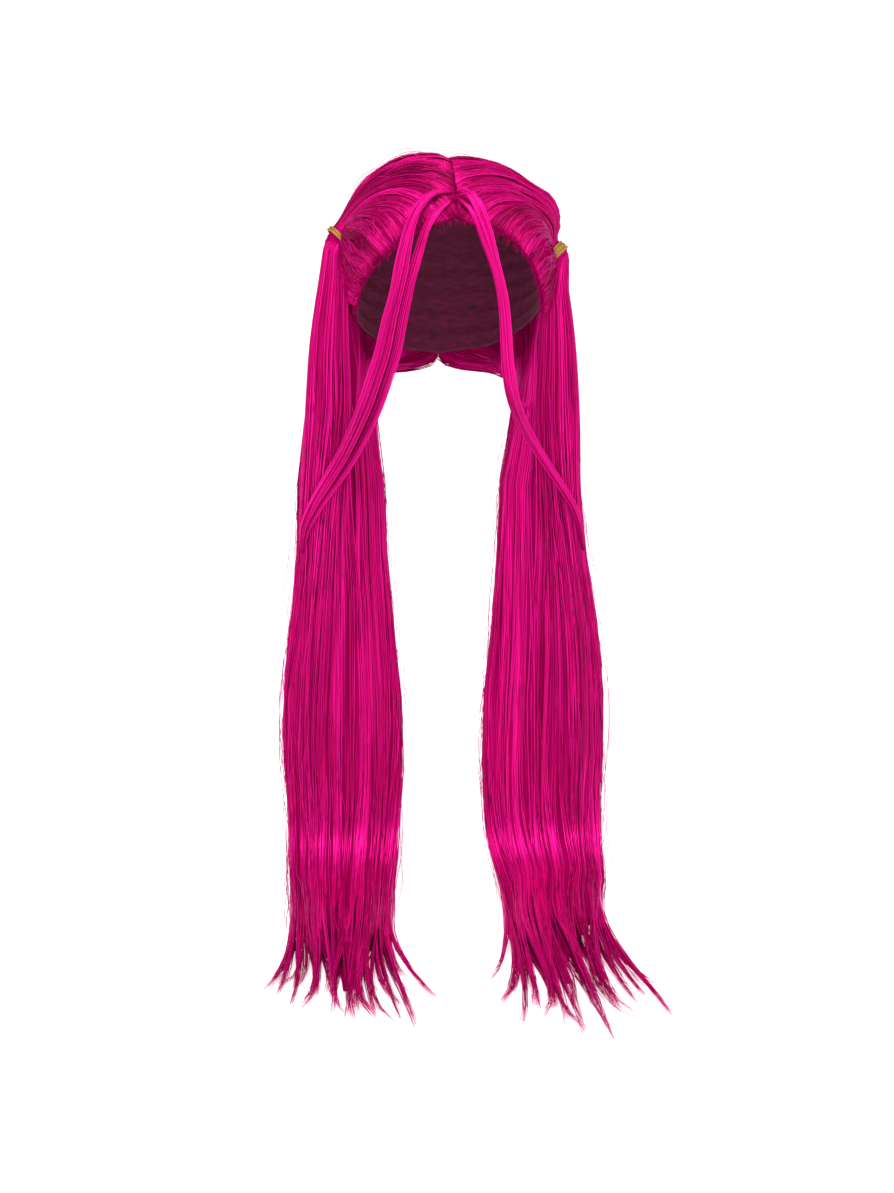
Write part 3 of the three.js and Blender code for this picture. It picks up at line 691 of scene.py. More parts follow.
def mass_line(share):
    hang, bend, trail = mass_lengths()
    run = share * (hang + bend + trail)
    lean = TOP_BACK * (1 - float(smoothstep(share, 0, TOP_SPAN)))
    if run <= hang:
        return MASS_BACK + lean, -HEAD_RISE - HANG_START - run, 0.0
    turn = min((run - hang) / BEND_RADIUS, math.pi / 2)
    past = max(0.0, run - hang - bend)
    back = MASS_BACK - BEND_RADIUS * (1 - math.cos(turn)) - past
    return back, FLOOR + TRAIL_HEIGHT / 2 + BEND_RADIUS * (1 - math.sin(turn)), turn


def mass_ring(side, row):
    share, outer_right, inner_right, outer_left, inner_left, depth = row
    outer = (outer_right if side == "right" else outer_left) * REACH
    inner = (inner_right if side == "right" else inner_left) * REACH
    back, up, turn = mass_line(share)
    half_deep = depth * MASS_DEPTH / 2
    settled = max(0.0, TRAIL_HEIGHT / 2 - half_deep) * math.sin(turn)
    angle = ring_angles(RING_START, RING_END, RING_HALF, FULL_TURN)
    swell = float(smoothstep(share, 0, LOBE_SPAN)) * LOBE_SHARE
    ripple = 1 + swell * np.cos(LOBES * angle + LOBE_TWIST * share)
    across = ((outer - inner) / 2 - SKIN_INSET) * np.cos(angle) * ripple
    deep = max(half_deep - SKIN_INSET, THINNEST) * np.sin(angle) * ripple
    up = up - settled - deep * math.sin(turn)
    return np.stack([(outer + inner) / 2 + across, back + deep * math.cos(turn), up], -1)


def long_rings(side):
    low = np.arange(RING_HALF) / (RING_HALF - 1)
    start, bend_azimuth, bend_elevation, end_azimuth, end_elevation = columns(BACK_ROWS, low)
    starts = direction(np.full(RING_HALF, 180.0), start)
    bends = direction(bend_azimuth, bend_elevation)
    ends = direction(end_azimuth, end_elevation)
    under = UNDER_TIED + (1 - UNDER_TIED) * smoothstep(low, 0, UNDER_SPAN)
    nape = 1 + (NAPE_SHARE - 1) * low
    rings = []
    for way in BACK_WAYS:
        back, beside = columns(BACK_DEPTH_ROWS, way)
        ways = bent_way(starts, bends, ends, np.full(RING_HALF, way))
        depth = under * back * BACK_DEPTH + nape * beside * SIDE_DEPTH
        outer = head_point(ways, CAP_WALL + depth - SKIN_INSET)
        inner_side = head_point(ways, CAP_WALL + AIR)[::-1]
        rings.append(np.concatenate([outer, inner_side]))
    return rings + [mass_ring(side, row) for row in MASS_ROWS]


def kept_clear(points, middle):
    points = points.copy()
    near_head = points[..., 2] > -HEAD_RISE - HANG_START
    points[..., 0] = np.where(near_head, np.maximum(points[..., 0], middle), points[..., 0])
    points[..., 2] = np.maximum(points[..., 2], FLOOR + FIBRE_REST)
    return points


LONG_SHEETS = {}
for side in SIDES:
    sheet, knots = smooth_sheet(long_rings(side), LONG_ROWS)
    LONG_SHEETS[side] = kept_clear(sheet, AIR), knots[-len(MASS_ROWS) :]
print("the mass starts", LONG_SHEETS["right"][1][0].round(3), "of the way along")

# %% [markdown]
# On the table the hair parts into ten locks a side, and each lock into three wisps. A strand
# leaves the mass at its own place across, and runs to the wisp that lies in front of it. Some
# strands stop early, so that a wisp thins toward its tip.

# %% Long hair: locks and wisps
# Each lock: the place across and forward of its root, then of its tip
LOCK_ROWS = {
    "right": [
        (0.9, 0.44, 1.155, 0.675),
        (0.9, 0.46, 1.02, 0.75),
        (0.85, 0.46, 0.94, 0.78),
        (0.78, 0.47, 0.8, 0.82),
        (0.7, 0.48, 0.73, 0.845),
        (0.66, 0.47, 0.655, 0.855),
        (0.6, 0.46, 0.54, 0.85),
        (0.56, 0.46, 0.43, 0.87),
        (0.53, 0.45, 0.325, 0.915),
        (0.51, 0.4, 0.395, 0.71),
    ],
    "left": [
        (0.35, 0.43, 0.135, 0.76),
        (0.38, 0.46, 0.2, 0.91),
        (0.44, 0.48, 0.3, 0.85),
        (0.47, 0.48, 0.345, 0.88),
        (0.55, 0.49, 0.45, 0.93),
        (0.58, 0.49, 0.52, 0.975),
        (0.65, 0.49, 0.66, 1),
        (0.7, 0.48, 0.78, 0.895),
        (0.76, 0.46, 0.86, 0.86),
        (0.76, 0.44, 0.985, 0.893),
    ],
}
WISPS = 3
WISP_FAN = 0.2
WISP_SHIFT = 0.02
WISP_SHORTER = (0.05, 0.4)
WISP_TURN = (-0.1, 0.45)
ROOT_WEIGHT = 0.6
TRAIL_FROM = 0.8
PLACE_SPREAD = 0.018
LAST_PLACE = 0.9999
TIP_SPREAD = 0.0013
REST_TOP = 0.0032
LEAVE_SHARE = 0.38
ARRIVE_SHARE = 0.3
ARRIVE_RISE = 0.12
# Which share of the strands stops early, and between which shares of the way
TRAIL_SHORTER = [(0.62, 0.86, 1), (0.3, 0.5, 0.86)]


def wisp_tips(side):
    locks = np.array(LOCK_ROWS[side])
    root, tip = (locks[:, k : k + 2] * [REACH, -TRAIL_REACH] for k in (0, 2))
    run = np.repeat(tip - root, WISPS, axis=0)
    across = unit(np.column_stack([-run[:, 1], run[:, 0]]))
    length = np.linalg.norm(run, axis=1, keepdims=True)
    place = np.tile(np.linspace(-0.5, 0.5, WISPS), len(locks))[:, None]
    aside = place * WISP_FAN + random.normal(0, WISP_SHIFT, (len(run), 1))
    short = random.uniform(*WISP_SHORTER, (len(run), 1)) * (np.abs(place) > 0)
    tips = np.repeat(tip, WISPS, axis=0) + across * aside * length - run * short
    away = np.sign(run[:, :1])
    heading = unit(unit(run) + across * away * random.uniform(*WISP_TURN, (len(run), 1)))
    order = np.argsort(np.repeat(locks[:, 0], WISPS) * ROOT_WEIGHT + tips[:, 0] / REACH)
    return tips[order], heading[order]


def trail_paths(side, here, heading, steps):
    tips, tip_headings = wisp_tips(side)
    n = len(here)
    place = np.argsort(np.argsort(here[:, 0])) / n + random.normal(0, PLACE_SPREAD, n)
    wisp = (np.clip(place, 0, LAST_PLACE) * len(tips)).astype(int)
    tip = tips[wisp] + random.normal(0, TIP_SPREAD, (n, 2))
    rest = FLOOR + random.uniform(FIBRE_REST, REST_TOP, n)
    tip = np.column_stack([tip, rest])
    run = np.linalg.norm(tip - here, axis=1)[:, None]
    leave = here + heading * run * LEAVE_SHARE
    leave[:, 2] = np.maximum(leave[:, 2], rest)
    arrive = tip - np.column_stack([tip_headings[wisp], np.zeros(n)]) * run * ARRIVE_SHARE
    arrive[:, 2] += (here[:, 2] - rest) * ARRIVE_RISE
    reach = np.ones(n)
    for share, low, high in TRAIL_SHORTER:
        reach = np.where(random.uniform(size=n) < share, random.uniform(low, high, n), reach)
    s = (np.linspace(0, 1, steps + 1)[1:] * reach[:, None])[..., None]
    path = (1 - s) ** 3 * here[:, None] + 3 * s * (1 - s) ** 2 * leave[:, None]
    return path + 3 * s**2 * (1 - s) * arrive[:, None] + s**3 * tip[:, None]


print("wisps a side", WISPS * len(LOCK_ROWS["right"]))

# %% [markdown]
# Strands of the long hair: those of the outer side start on the centre-back part, and those
# of the inner side come out from under the cap. Clumps sway and rise together, and one strand
# in ten strays far from its clump. Points are closer together where the hair bends than where
# it hangs straight. Down on the table the skin narrows to nothing under the strands. A few
# loose hairs arch away from the edges of the mass.

# %% Long hair: strands
LONG_STRANDS = 900
LONG_HEAD_STEPS = 10
LONG_HANG_STEPS = 5
LONG_BEND_STEPS = 9
LONG_TRAIL_STEPS = 6
BEND_FROM = 0.5
LONG_CLUMPS = 64
LONG_GATHER = 0.5
GATHER_FROM = 0.6
CLUMP_SWAY = 0.011
OWN_SWAY = 0.006
CLUMP_RISE = 0.0016
OWN_RISE = 0.0008
LONG_LIFT = (-0.0004, 0.0016)
HEAD_LIFT = 0.0009
HEAD_RISE_SHARE = 0.3
STRAY_SHARE = 0.1
STRAY_GAIN = 6.0
STRAY_LIFT = 0.0002
OUTER_SHARE = (RING_HALF - 1) / (2 * RING_HALF)
ROOT_STAGGER = 0.006
UNDER_CAP = (0.55, 0.98)
UNDER_NAPE = (0.0, 0.5)
NAPE_SPAN = 0.1
PART_CROSS = (-0.0024, 0.0002)
PART_SPAN = 0.06
LONG_RADII = (0.0004, 0.00074)
LONG_TONES = (0.38, 0.7, 0.12)
# Painted light along each strand: a lighter band at the bend onto the table is a painted highlight,
# and the part lying on the table is painted lighter
LONG_PAINTED_LIGHT = [(0, 0.05), (0.3, 0.05), (0.5, 0), (0.7, 0.22), (0.85, 0.12), (1, 0.1)]
SKIN_ENDING = (0.74, 0.97)
SKIN_LOST = 0.86
ROOT_WIDTH = 0.15
TIP_WIDTH = 0.12
LOOSE_TONES = (0.3, 0.9)
LOOSE_ENDS = (0.1, 0.3)
ARCH_POWER = 0.8
FLYAWAYS = 130
FLYAWAY_STEPS = 18
FLYAWAY_LATEST = 0.7
FLYAWAY_LENGTHS = (0.12, 0.34)
FLYAWAY_END = 0.93
FLYAWAY_EDGES = (OUTER_SHARE * 0.5, 0.78)
FLYAWAY_OUTER = 0.6
FLYAWAY_SPREAD = 0.07
FLYAWAY_DRIFT = 0.03
FLYAWAY_ARCH = (2.2, 0.0022)
FLYAWAY_LIFT = 0.0008
FLYAWAY_WOBBLE = 0.0018
FLYAWAY_RADII = (0.00012, 0.0003)


def spaced(n):
    return (np.arange(n) + random.uniform(0, 1, n)) / n


def taper_of(k, root, tip):
    flow = np.linspace(0, 1, k)
    return np.minimum(1, np.minimum(flow / root + ROOT_WIDTH, (1 - flow) / tip + TIP_WIDTH))


def clump_tones(clump, count, low, high, spread):
    base = random.uniform(low, high, count)
    return np.clip(base[clump] + random.normal(0, spread, len(clump)), 0, 1)[:, None]


def loose_part(side, paths, radii, tones, ends):
    n, k = paths.shape[:2]
    radius = random.uniform(*radii, n)
    tone = random.uniform(*tones, (n, 1))
    return strand_part(on_side(side, paths), radius, taper_of(k, *ends), tone)


def long_along(first, mass_knots):
    bend, last = np.interp([BEND_FROM, TRAIL_FROM], [row[0] for row in MASS_ROWS], mass_knots)
    mass_from = np.maximum(mass_knots[0], first + 0.01)
    on_head = first + (mass_from - first) * np.linspace(0, 1, LONG_HEAD_STEPS + 1)[:-1]
    hanging = mass_from + (bend - mass_from) * np.linspace(0, 1, LONG_HANG_STEPS + 1)[:-1]
    bending = bend + (last - bend) * np.linspace(0, 1, LONG_BEND_STEPS + 1)
    return np.concatenate([on_head, hanging, bending * np.ones_like(first)], axis=1)


def long_strands(side, n):
    sheet, mass_knots = LONG_SHEETS[side]
    mass_from = mass_knots[0]
    around = spaced(n)
    outside = around < OUTER_SHARE
    tucked = mass_from * random.uniform(*UNDER_CAP, n)
    nape = (around > OUTER_SHARE) & (around < OUTER_SHARE + NAPE_SPAN)
    tucked = np.where(nape, mass_from * random.uniform(*UNDER_NAPE, n), tucked)
    first = np.where(outside, random.uniform(0, ROOT_STAGGER, n), tucked)[:, None]
    along = long_along(first, mass_knots)
    clump = (around * LONG_CLUMPS).astype(int)
    centre = ((clump + 0.5) / LONG_CLUMPS)[:, None]
    gather = LONG_GATHER * smoothstep(along, mass_from * GATHER_FROM, 1.0)
    spread = around[:, None] * (1 - gather) + centre * gather
    loose = smoothstep(along, 0.02, mass_from)
    spread = spread + sway(LONG_CLUMPS, clump, along) * CLUMP_SWAY * loose
    stray = np.where(random.uniform(size=n) < STRAY_SHARE, STRAY_GAIN, 1.0)[:, None]
    spread = spread + sway(n, np.arange(n), along) * OWN_SWAY * loose * stray
    on_back = outside[:, None] & (along < mass_from)
    spread = np.where(on_back, np.maximum(spread, 0.001), spread)
    clump_rise = sway(LONG_CLUMPS, clump, along) * CLUMP_RISE
    own_rise = sway(n, np.arange(n), along) * OWN_RISE
    lift = random.uniform(*LONG_LIFT, n)[:, None] + HEAD_LIFT * (1 - loose)
    lift = lift + clump_rise * (HEAD_RISE_SHARE + (1 - HEAD_RISE_SHARE) * loose)
    lift = lift + own_rise + (stray - 1) * STRAY_LIFT
    under_cap = ~outside[:, None] & (along < mass_from)
    lift = np.where(under_cap, np.minimum(lift, 0.0), lift)
    paths = lifted(sheet, along, spread, lift, True)
    middle = random.uniform(*PART_CROSS, n)[:, None]
    paths[..., 0] += middle * (1 - smoothstep(along, 0, PART_SPAN)) * outside[:, None]
    paths = kept_clear(paths, middle)
    heading = unit(paths[:, -1] - paths[:, -2])
    trail = trail_paths(side, paths[:, -1], heading, LONG_TRAIL_STEPS)
    return kept_clear(np.concatenate([paths, trail], axis=1), middle), clump


def flyaways(side, n):
    sheet, mass_knots = LONG_SHEETS[side]
    start = random.uniform(mass_knots[0], FLYAWAY_LATEST, (n, 1))
    length = random.uniform(*FLYAWAY_LENGTHS, (n, 1))
    flow = np.linspace(0, 1, FLYAWAY_STEPS)
    along = np.minimum(start + length * flow, FLYAWAY_END)
    edge = np.where(random.uniform(size=n) < FLYAWAY_OUTER, *FLYAWAY_EDGES)
    around = edge[:, None] + random.normal(0, FLYAWAY_SPREAD, (n, 1))
    around = around + random.normal(0, FLYAWAY_DRIFT, (n, 1)) * flow
    arch = np.sin(np.pi * flow) ** ARCH_POWER * random.gamma(*FLYAWAY_ARCH, (n, 1))
    paths = lifted(sheet, along, around, arch + FLYAWAY_LIFT, True)
    paths[..., 0] += sway(n, np.arange(n), flow[None, :] * np.ones((n, 1))) * FLYAWAY_WOBBLE
    return kept_clear(paths, -REACH)


def ended_skin(sheet, mass_knots):
    ending = np.interp(SKIN_ENDING, [row[0] for row in MASS_ROWS], mass_knots)
    share = smoothstep(np.linspace(0, 1, len(sheet)), *ending)
    kept = 1 - SKIN_LOST * share[:, None, None]
    origin = sheet.mean(axis=1, keepdims=True) * [1, 1, 0] + [0, 0, FLOOR + FIBRE_REST]
    return origin + (sheet - origin) * kept


def long_hair(side):
    parts = [skin_part(on_side(side, ended_skin(*LONG_SHEETS[side])))]
    paths, clump = long_strands(side, LONG_STRANDS)
    radius = random.uniform(*LONG_RADII, LONG_STRANDS)
    tone = clump_tones(clump, LONG_CLUMPS, *LONG_TONES)
    # Adds painted light to each strand's tone: a painted highlight at the bend and lighter ends on
    # the table
    tone = np.clip(tone + columns(LONG_PAINTED_LIGHT, np.linspace(0, 1, paths.shape[1]))[0], 0, 1)
    taper = taper_of(paths.shape[1], 0.04, 0.16)
    parts.append(strand_part(on_side(side, paths), radius, taper, tone))
    loose = flyaways(side, FLYAWAYS)
    parts.append(loose_part(side, loose, FLYAWAY_RADII, LOOSE_TONES, LOOSE_ENDS))
    return mesh_object("hair_long_" + side, parts, HAIR)


for side in SIDES:
    piece = long_hair(side)
    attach(piece, "root")
    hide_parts("long_hair_" + side)

# %% [markdown]
# The tied hair starts along the part and the rolled hairline and runs to the elastic. Along
# the hairline the strands come out from below and turn over the edge, as a roll does. SLIM
# flattens the crown hair a little way from the part, and BULGE lets it swell before the
# elastic. Both are stronger on the left.

# %% Tied hair: tables
# From the nape to the brow: azimuth and elevation at the part, and where the flow bends
PART_FLOW = [
    (180, 48, 120, 42),
    (180, 66, 112, 54),
    (180, 84, 100, 66),
    (0, 76, 72, 72),
    (0, 60, 46, 66),
    (0, 46, 32, 58),
    (0, 33, 22, 52),
]
# The same along the rolled hairline, from the brow to the ear
HAIRLINE_FLOW = {
    "right": [
        (14, 29, 34, 48),
        (30, 20.5, 46, 38),
        (45, 10, 60, 24),
        (60, -2, 74, 4),
        (72, -15, 88, -12),
    ],
    "left": [
        (12, 28, 32, 47),
        (27, 24, 42, 40),
        (40, 14, 55, 27),
        (51, 0, 66, 8),
        (63, -14, 80, -10),
    ],
}
# Along the way to the elastic: depth of crown hair, of the roll and of hair beside the elastic
TIED_DEPTH = [
    (0.0, 0.66, 0.35, 0.0),
    (0.07, 1.0, 1.0, 0.0),
    (0.2, 1.02, 1.15, 0.12),
    (0.36, 0.85, 0.95, 0.35),
    (0.52, 0.5, 0.6, 0.62),
    (0.68, 0.2, 0.25, 0.86),
    (0.82, 0.0, 0.0, 1.04),
]
TIED_WAYS = (0.0, 0.03, 0.07, 0.13, 0.2, 0.28, 0.36, 0.44, 0.52, 0.6, 0.68, 0.75, 0.82)
# Under and over the edge of the roll: way from the edge, depth of crown hair and of the roll
ROLL_ROWS = [(0.04, 0.5, 0.05), (-0.004, 0.6, 0.08), (-0.02, 0.68, 0.4), (-0.012, 0.74, 0.75)]
BULGE = {"right": 0.0015, "left": 0.011}
SLIM = {"right": 0.15, "left": 0.42}
BULGE_AT = 0.8
SLIM_AT = 0.28
SLIM_SPAN = 0.28
BULGE_SPAN = 0.13
TAIL_DROP = 0.365
TAIL_OUT = 0.016
TAIL_FORWARD = 0.013
TAIL_WIDTH = 0.038
TAIL_THICKNESS = 0.015
# Down the tail: outward on the right and on the left, forward, width, thickness
TAIL_ROWS = [
    (0.025, 0.1, -0.1, 0.1, 0.54, 1.15),
    (0.065, 0.08, -0.38, 0.35, 0.6, 1.1),
    (0.13, 0.2, -0.34, 0.62, 0.7, 1.05),
    (0.23, 0.36, -0.3, 0.85, 0.86, 1),
    (0.37, 0.45, -0.28, 1, 1, 1),
    (0.52, 0.65, -0.1, 1, 1, 0.94),
    (0.67, 0.8, 0.45, 0.95, 0.92, 0.85),
    (0.84, 0.92, 0.95, 0.85, 0.7, 0.6),
    (1, 0.95, 1.1, 0.7, 0.2, 0.12),
]
FAN_HALF = 60
FAN_ROWS = 110
FAN_SKIN_ROWS = 56
TAIL_HALF = 20
TAIL_TURN_SPAN = 0.14
TAIL_THINNEST = 0.0005
NECK_STEPS = (-0.75, 0.75)
BUNCH_START = 150
BUNCH_END = -45


def bunch_at(side):
    out = direction(BUNCH_AZIMUTH, BUNCH_ELEVATION[side])
    way = direction(BUNCH_AZIMUTH, -BUNCH_TILT)
    return head_point(out, CAP_WALL + BUNCH_STANDOFF[side]), way


def bunch_ring(middle, way, half_forward, half_out, half):
    front = np.array([0.0, -1.0, 0.0])
    front = unit(front - front @ way * way)
    outer = np.array([1.0, 0.0, 0.0])
    outer = outer - outer @ way * way
    outer = unit(outer - outer @ front * front)
    angle = ring_angles(BUNCH_START, BUNCH_END, half, -FULL_TURN)[:, None]
    return middle + np.cos(angle) * half_forward * front + np.sin(angle) * half_out * outer


def neck_rings(side, half, inset):
    middle, way = bunch_at(side)
    neck = CORD_PITCH * CORD_TURNS[side]
    radius = BUNCH_RADIUS - inset
    return [
        bunch_ring(middle + step * neck * way, way, radius, radius, half)
        for step in NECK_STEPS
    ]


def tail_rings(side):
    middle, way = bunch_at(side)
    end = middle + way * CORD_PITCH * CORD_TURNS[side]
    down = np.array([0.0, 0.0, -1.0])
    rings = neck_rings(side, TAIL_HALF, SKIN_INSET)
    for drop, out_right, out_left, forward, width, thickness in TAIL_ROWS:
        out = out_right if side == "right" else out_left
        at = end + np.array([out * TAIL_OUT, -forward * TAIL_FORWARD, -drop * TAIL_DROP])
        bend = turned(way, down, smoothstep(drop, 0, TAIL_TURN_SPAN))
        half_forward = max(thickness * TAIL_THICKNESS / 2 - SKIN_INSET, TAIL_THINNEST)
        half_out = max(width * TAIL_WIDTH / 2 - SKIN_INSET, TAIL_THINNEST)
        rings.append(bunch_ring(at, bend, half_forward, half_out, TAIL_HALF))
    return rings


def fan_starts(side):
    rows = np.array(PART_FLOW + HAIRLINE_FLOW[side], float)
    place = np.linspace(0, len(rows) - 1, FAN_HALF)
    k = np.minimum(place.astype(int), len(rows) - 2)
    rolled = smoothstep(place, len(PART_FLOW) - 3, len(PART_FLOW) + 1)
    starts, bends = direction(rows[:, 0], rows[:, 1]), direction(rows[:, 2], rows[:, 3])
    starts = turned(starts[k], starts[k + 1], place - k)
    return starts, turned(bends[k], bends[k + 1], place - k), rolled


def fan_row(side, way, crown, roll, beside, inset):
    starts, bends, rolled = fan_starts(side)
    ends = np.broadcast_to(direction(BUNCH_AZIMUTH, BUNCH_ELEVATION[side]), starts.shape)
    share = np.where(way < 0, way * rolled, way) * np.ones(FAN_HALF)
    ways = bent_way(starts, bends, ends, share)
    flat = 1 - SLIM[side] * math.exp(-(((way - SLIM_AT) / SLIM_SPAN) ** 2))
    depth = crown * CROWN_DEPTH * flat * (1 - rolled) + roll * ROLL_DEPTH * rolled
    bulge = BULGE[side] * math.exp(-(((way - BULGE_AT) / BULGE_SPAN) ** 2)) * (1 - rolled)
    beside = beside * SIDE_DEPTH * BUNCH_STANDOFF[side] / BUNCH_STANDOFF["right"]
    outer = head_point(ways, CAP_WALL + depth + bulge + beside - inset)
    return outer, head_point(ways, CAP_WALL + AIR)


def fan_skin(side):
    rings = []
    for way in TIED_WAYS:
        outer, under = fan_row(side, way, *columns(TIED_DEPTH, way), SKIN_INSET)
        rings.append(np.concatenate([outer, under[::-1]]))
    rings += neck_rings(side, FAN_HALF, SKIN_INSET)
    sheet, _ = smooth_sheet(rings, FAN_SKIN_ROWS)
    sheet[..., 0] = np.maximum(sheet[..., 0], PART_HALF)
    return sheet


def fan_sheet(side):
    rows = [fan_row(side, way, crown, roll, 0, 0)[0] for way, crown, roll in ROLL_ROWS]
    rows += [fan_row(side, way, *columns(TIED_DEPTH, way), 0)[0] for way in TIED_WAYS[1:]]
    rows += [ring[:FAN_HALF] for ring in neck_rings(side, FAN_HALF, 0)]
    sheet, knots = smooth_sheet(rows, FAN_ROWS)
    return sheet, knots[len(ROLL_ROWS)]


print("right elastic at", on_side("right", bunch_at("right")[0]).round(3))

# %% [markdown]
# Strands of the crown and the roll run to the elastic in clumps, and those at the part cross
# it a little, which closes it. Tail strands leave the elastic, fall along the tail, and lower
# down come to lie on the long hair, where they end at different heights, so that the tail has
# no end of its own. Thin loose hairs arch over the crown, and short ones hang at the hairline.

# %% Tied hair: strands
FAN_STRANDS = 900
FAN_STEPS = 22
FAN_CLUMPS = 26
FAN_CLUMP_SWAY = 0.012
FAN_OWN_SWAY = 0.009
FAN_LIFT = (-0.0008, 0.0006)
FAN_CLUMP_RISE = 0.0022
FAN_OWN_RISE = 0.0005
FAN_CROSS = (-0.0004, 0.0026)
FAN_CROSS_SPAN = 0.14
FAN_RADII = (0.0003, 0.00058)
FAN_TONES = (0.18, 0.64, 0.11)
TAIL_STRANDS = 260
TAIL_STEPS = 26
TAIL_SHEET_ROWS = 60
TAIL_DROPS = (0.8, 1.4)
TAIL_SWAY = 0.03
TAIL_LIFT = (-0.0006, 0.0012)
# Angles round the mass where the tail comes to lie: the first, their span and their spread
LAIN_FROM = -104
LAIN_SPAN = 110
LAIN_SPREAD = 6
LAIN_FIRST = -0.04
LAIN_LIFT = (0.001, 0.0028)
LAIN_BLEND = (0.35, 0.9)
TAIL_RADII = (0.00032, 0.0006)
TAIL_TONE = 0.55
TAIL_TONE_SPREAD = 0.2
TAIL_SKIN_SHEET = 46
TAIL_SKIN_ROWS = 24
TAIL_SKIN_FULL = 9
TAIL_SKIN_LOST = 0.95
CROWN_WISPS = 60
CROWN_STEPS = 14
CROWN_LATEST = 0.5
CROWN_LENGTHS = (0.12, 0.3)
CROWN_END = 0.8
CROWN_AROUND = (0.02, 0.95)
CROWN_DRIFT = 0.05
CROWN_ARCH = (2.0, 0.001)
CROWN_LIFT = 0.0006
CROWN_CROSS = -0.004
CROWN_RADII = (0.0001, 0.0002)
BABY_HAIRS = 60
BABY_STEPS = 8
BABY_PLACES = (0.5, 0.78)
BABY_DEPTHS = (0.001, 0.006)
BABY_LENGTHS = (0.003, 0.013)
BABY_SPREAD = 0.35
BABY_BEND = 1.6
BABY_ARCH = (0.1, 0.35)
BABY_RADII = (0.00012, 0.00024)
BABY_TONES = (0.0, 0.5)
BABY_ENDS = (0.05, 0.6)


def fan_strands(side):
    sheet, edge = fan_sheet(side)
    n = FAN_STRANDS
    around = spaced(n)
    flow = np.linspace(0, 1, FAN_STEPS)
    clump = (around * FAN_CLUMPS).astype(int)
    first = np.where(around < 0.5, edge * 0.45, 0) + random.uniform(0, 0.012, n)
    along = first[:, None] + (1 - first[:, None]) * flow
    free = np.sin(np.pi * np.clip(along * 1.1 - 0.02, 0, 1)) ** 0.7
    spread = around[:, None] + sway(FAN_CLUMPS, clump, along * 0.8) * FAN_CLUMP_SWAY * free
    spread = spread + sway(n, np.arange(n), along) * FAN_OWN_SWAY * free
    rise = random.uniform(*FAN_LIFT, n)[:, None]
    rise = rise + sway(FAN_CLUMPS, clump, along * 0.7) * FAN_CLUMP_RISE
    rise = rise + sway(n, np.arange(n), along) * FAN_OWN_RISE
    paths = lifted(sheet, along, spread, rise * free, False)
    past = random.uniform(*FAN_CROSS, n)[:, None]
    paths[..., 0] -= past * (1 - smoothstep(along, 0, FAN_CROSS_SPAN)) * (around[:, None] < 0.6)
    paths[..., 0] = np.maximum(paths[..., 0], -past)
    radius = random.uniform(*FAN_RADII, n)
    tone = clump_tones(clump, FAN_CLUMPS, *FAN_TONES)
    return strand_part(on_side(side, paths), radius, taper_of(FAN_STEPS, 0.03, 0.04), tone)


def tail_strands(side):
    n = TAIL_STRANDS
    sheet, _ = smooth_sheet(tail_rings(side), TAIL_SHEET_ROWS)
    around = spaced(n)
    flow = np.linspace(0, 1, TAIL_STEPS)
    drop = flow[None, :] * random.uniform(*TAIL_DROPS, (n, 1))
    along = np.minimum(drop, 1)
    spread = around[:, None] + sway(n, np.arange(n), along) * TAIL_SWAY * along
    lift = random.uniform(*TAIL_LIFT, n)[:, None]
    lift = lift * smoothstep(along, 0, 0.1) * (1 - smoothstep(along, 0.8, 1))
    tail = lifted(sheet, along, spread, lift, True)
    mass, mass_knots = LONG_SHEETS[side]
    z = tail[..., 2] - np.maximum(drop - 1, 0) * TAIL_DROP
    share = (-HEAD_RISE - HANG_START - z) / sum(mass_lengths())
    mass_along = np.interp(share, [row[0] for row in MASS_ROWS], mass_knots)
    rank = np.argsort(np.argsort(tail[:, TAIL_STEPS // 2, 0])) / n
    angle = LAIN_FROM + LAIN_SPAN * rank + random.normal(0, LAIN_SPREAD, n)
    mass_around = ((angle - RING_START) / (RING_END - RING_START) * OUTER_SHARE)[:, None]
    mass_around = np.maximum(mass_around, LAIN_FIRST) * np.ones_like(flow)
    above = random.uniform(*LAIN_LIFT, (n, 1))
    lain = lifted(mass, mass_along, mass_around, above, True)
    blend = smoothstep(drop, *LAIN_BLEND)[..., None]
    paths = tail * (1 - blend) + lain * blend
    radius = random.uniform(*TAIL_RADII, n)
    tone = random.normal(TAIL_TONE, TAIL_TONE_SPREAD, (n, 1)).clip(0, 1)
    return strand_part(on_side(side, paths), radius, taper_of(TAIL_STEPS, 0.03, 0.35), tone)


def crown_wisps(side):
    sheet, edge = fan_sheet(side)
    n = CROWN_WISPS
    flow = np.linspace(0, 1, CROWN_STEPS)
    start = random.uniform(edge, CROWN_LATEST, (n, 1))
    along = np.minimum(start + random.uniform(*CROWN_LENGTHS, (n, 1)) * flow, CROWN_END)
    around = random.uniform(*CROWN_AROUND, (n, 1)) + random.normal(0, CROWN_DRIFT, (n, 1)) * flow
    arch = np.sin(np.pi * flow) ** ARCH_POWER * random.gamma(*CROWN_ARCH, (n, 1)) + CROWN_LIFT
    paths = lifted(sheet, along, around, arch, False)
    paths[..., 0] = np.maximum(paths[..., 0], CROWN_CROSS)
    return loose_part(side, paths, CROWN_RADII, LOOSE_TONES, LOOSE_ENDS)


def baby_hairs(side):
    n = BABY_HAIRS
    starts, _, _ = fan_starts(side)
    start = starts[(FAN_HALF * random.uniform(*BABY_PLACES, n)).astype(int)]
    root = head_point(start, CAP_WALL + random.uniform(*BABY_DEPTHS, n))
    flow = np.linspace(0, 1, BABY_STEPS)[None, :, None]
    length = random.uniform(*BABY_LENGTHS, (n, 1, 1))
    outward_way = unit(root - CENTRE)[:, None]
    down = np.array([0, 0, -1.0]) + random.normal(0, BABY_SPREAD, (n, 1, 3)) * [1, 0.3, 0.3]
    arch = np.sin(flow * BABY_BEND) * random.uniform(*BABY_ARCH, (n, 1, 1))
    paths = root[:, None] + length * (flow * unit(down) + arch * outward_way)
    return loose_part(side, paths, BABY_RADII, BABY_TONES, BABY_ENDS)


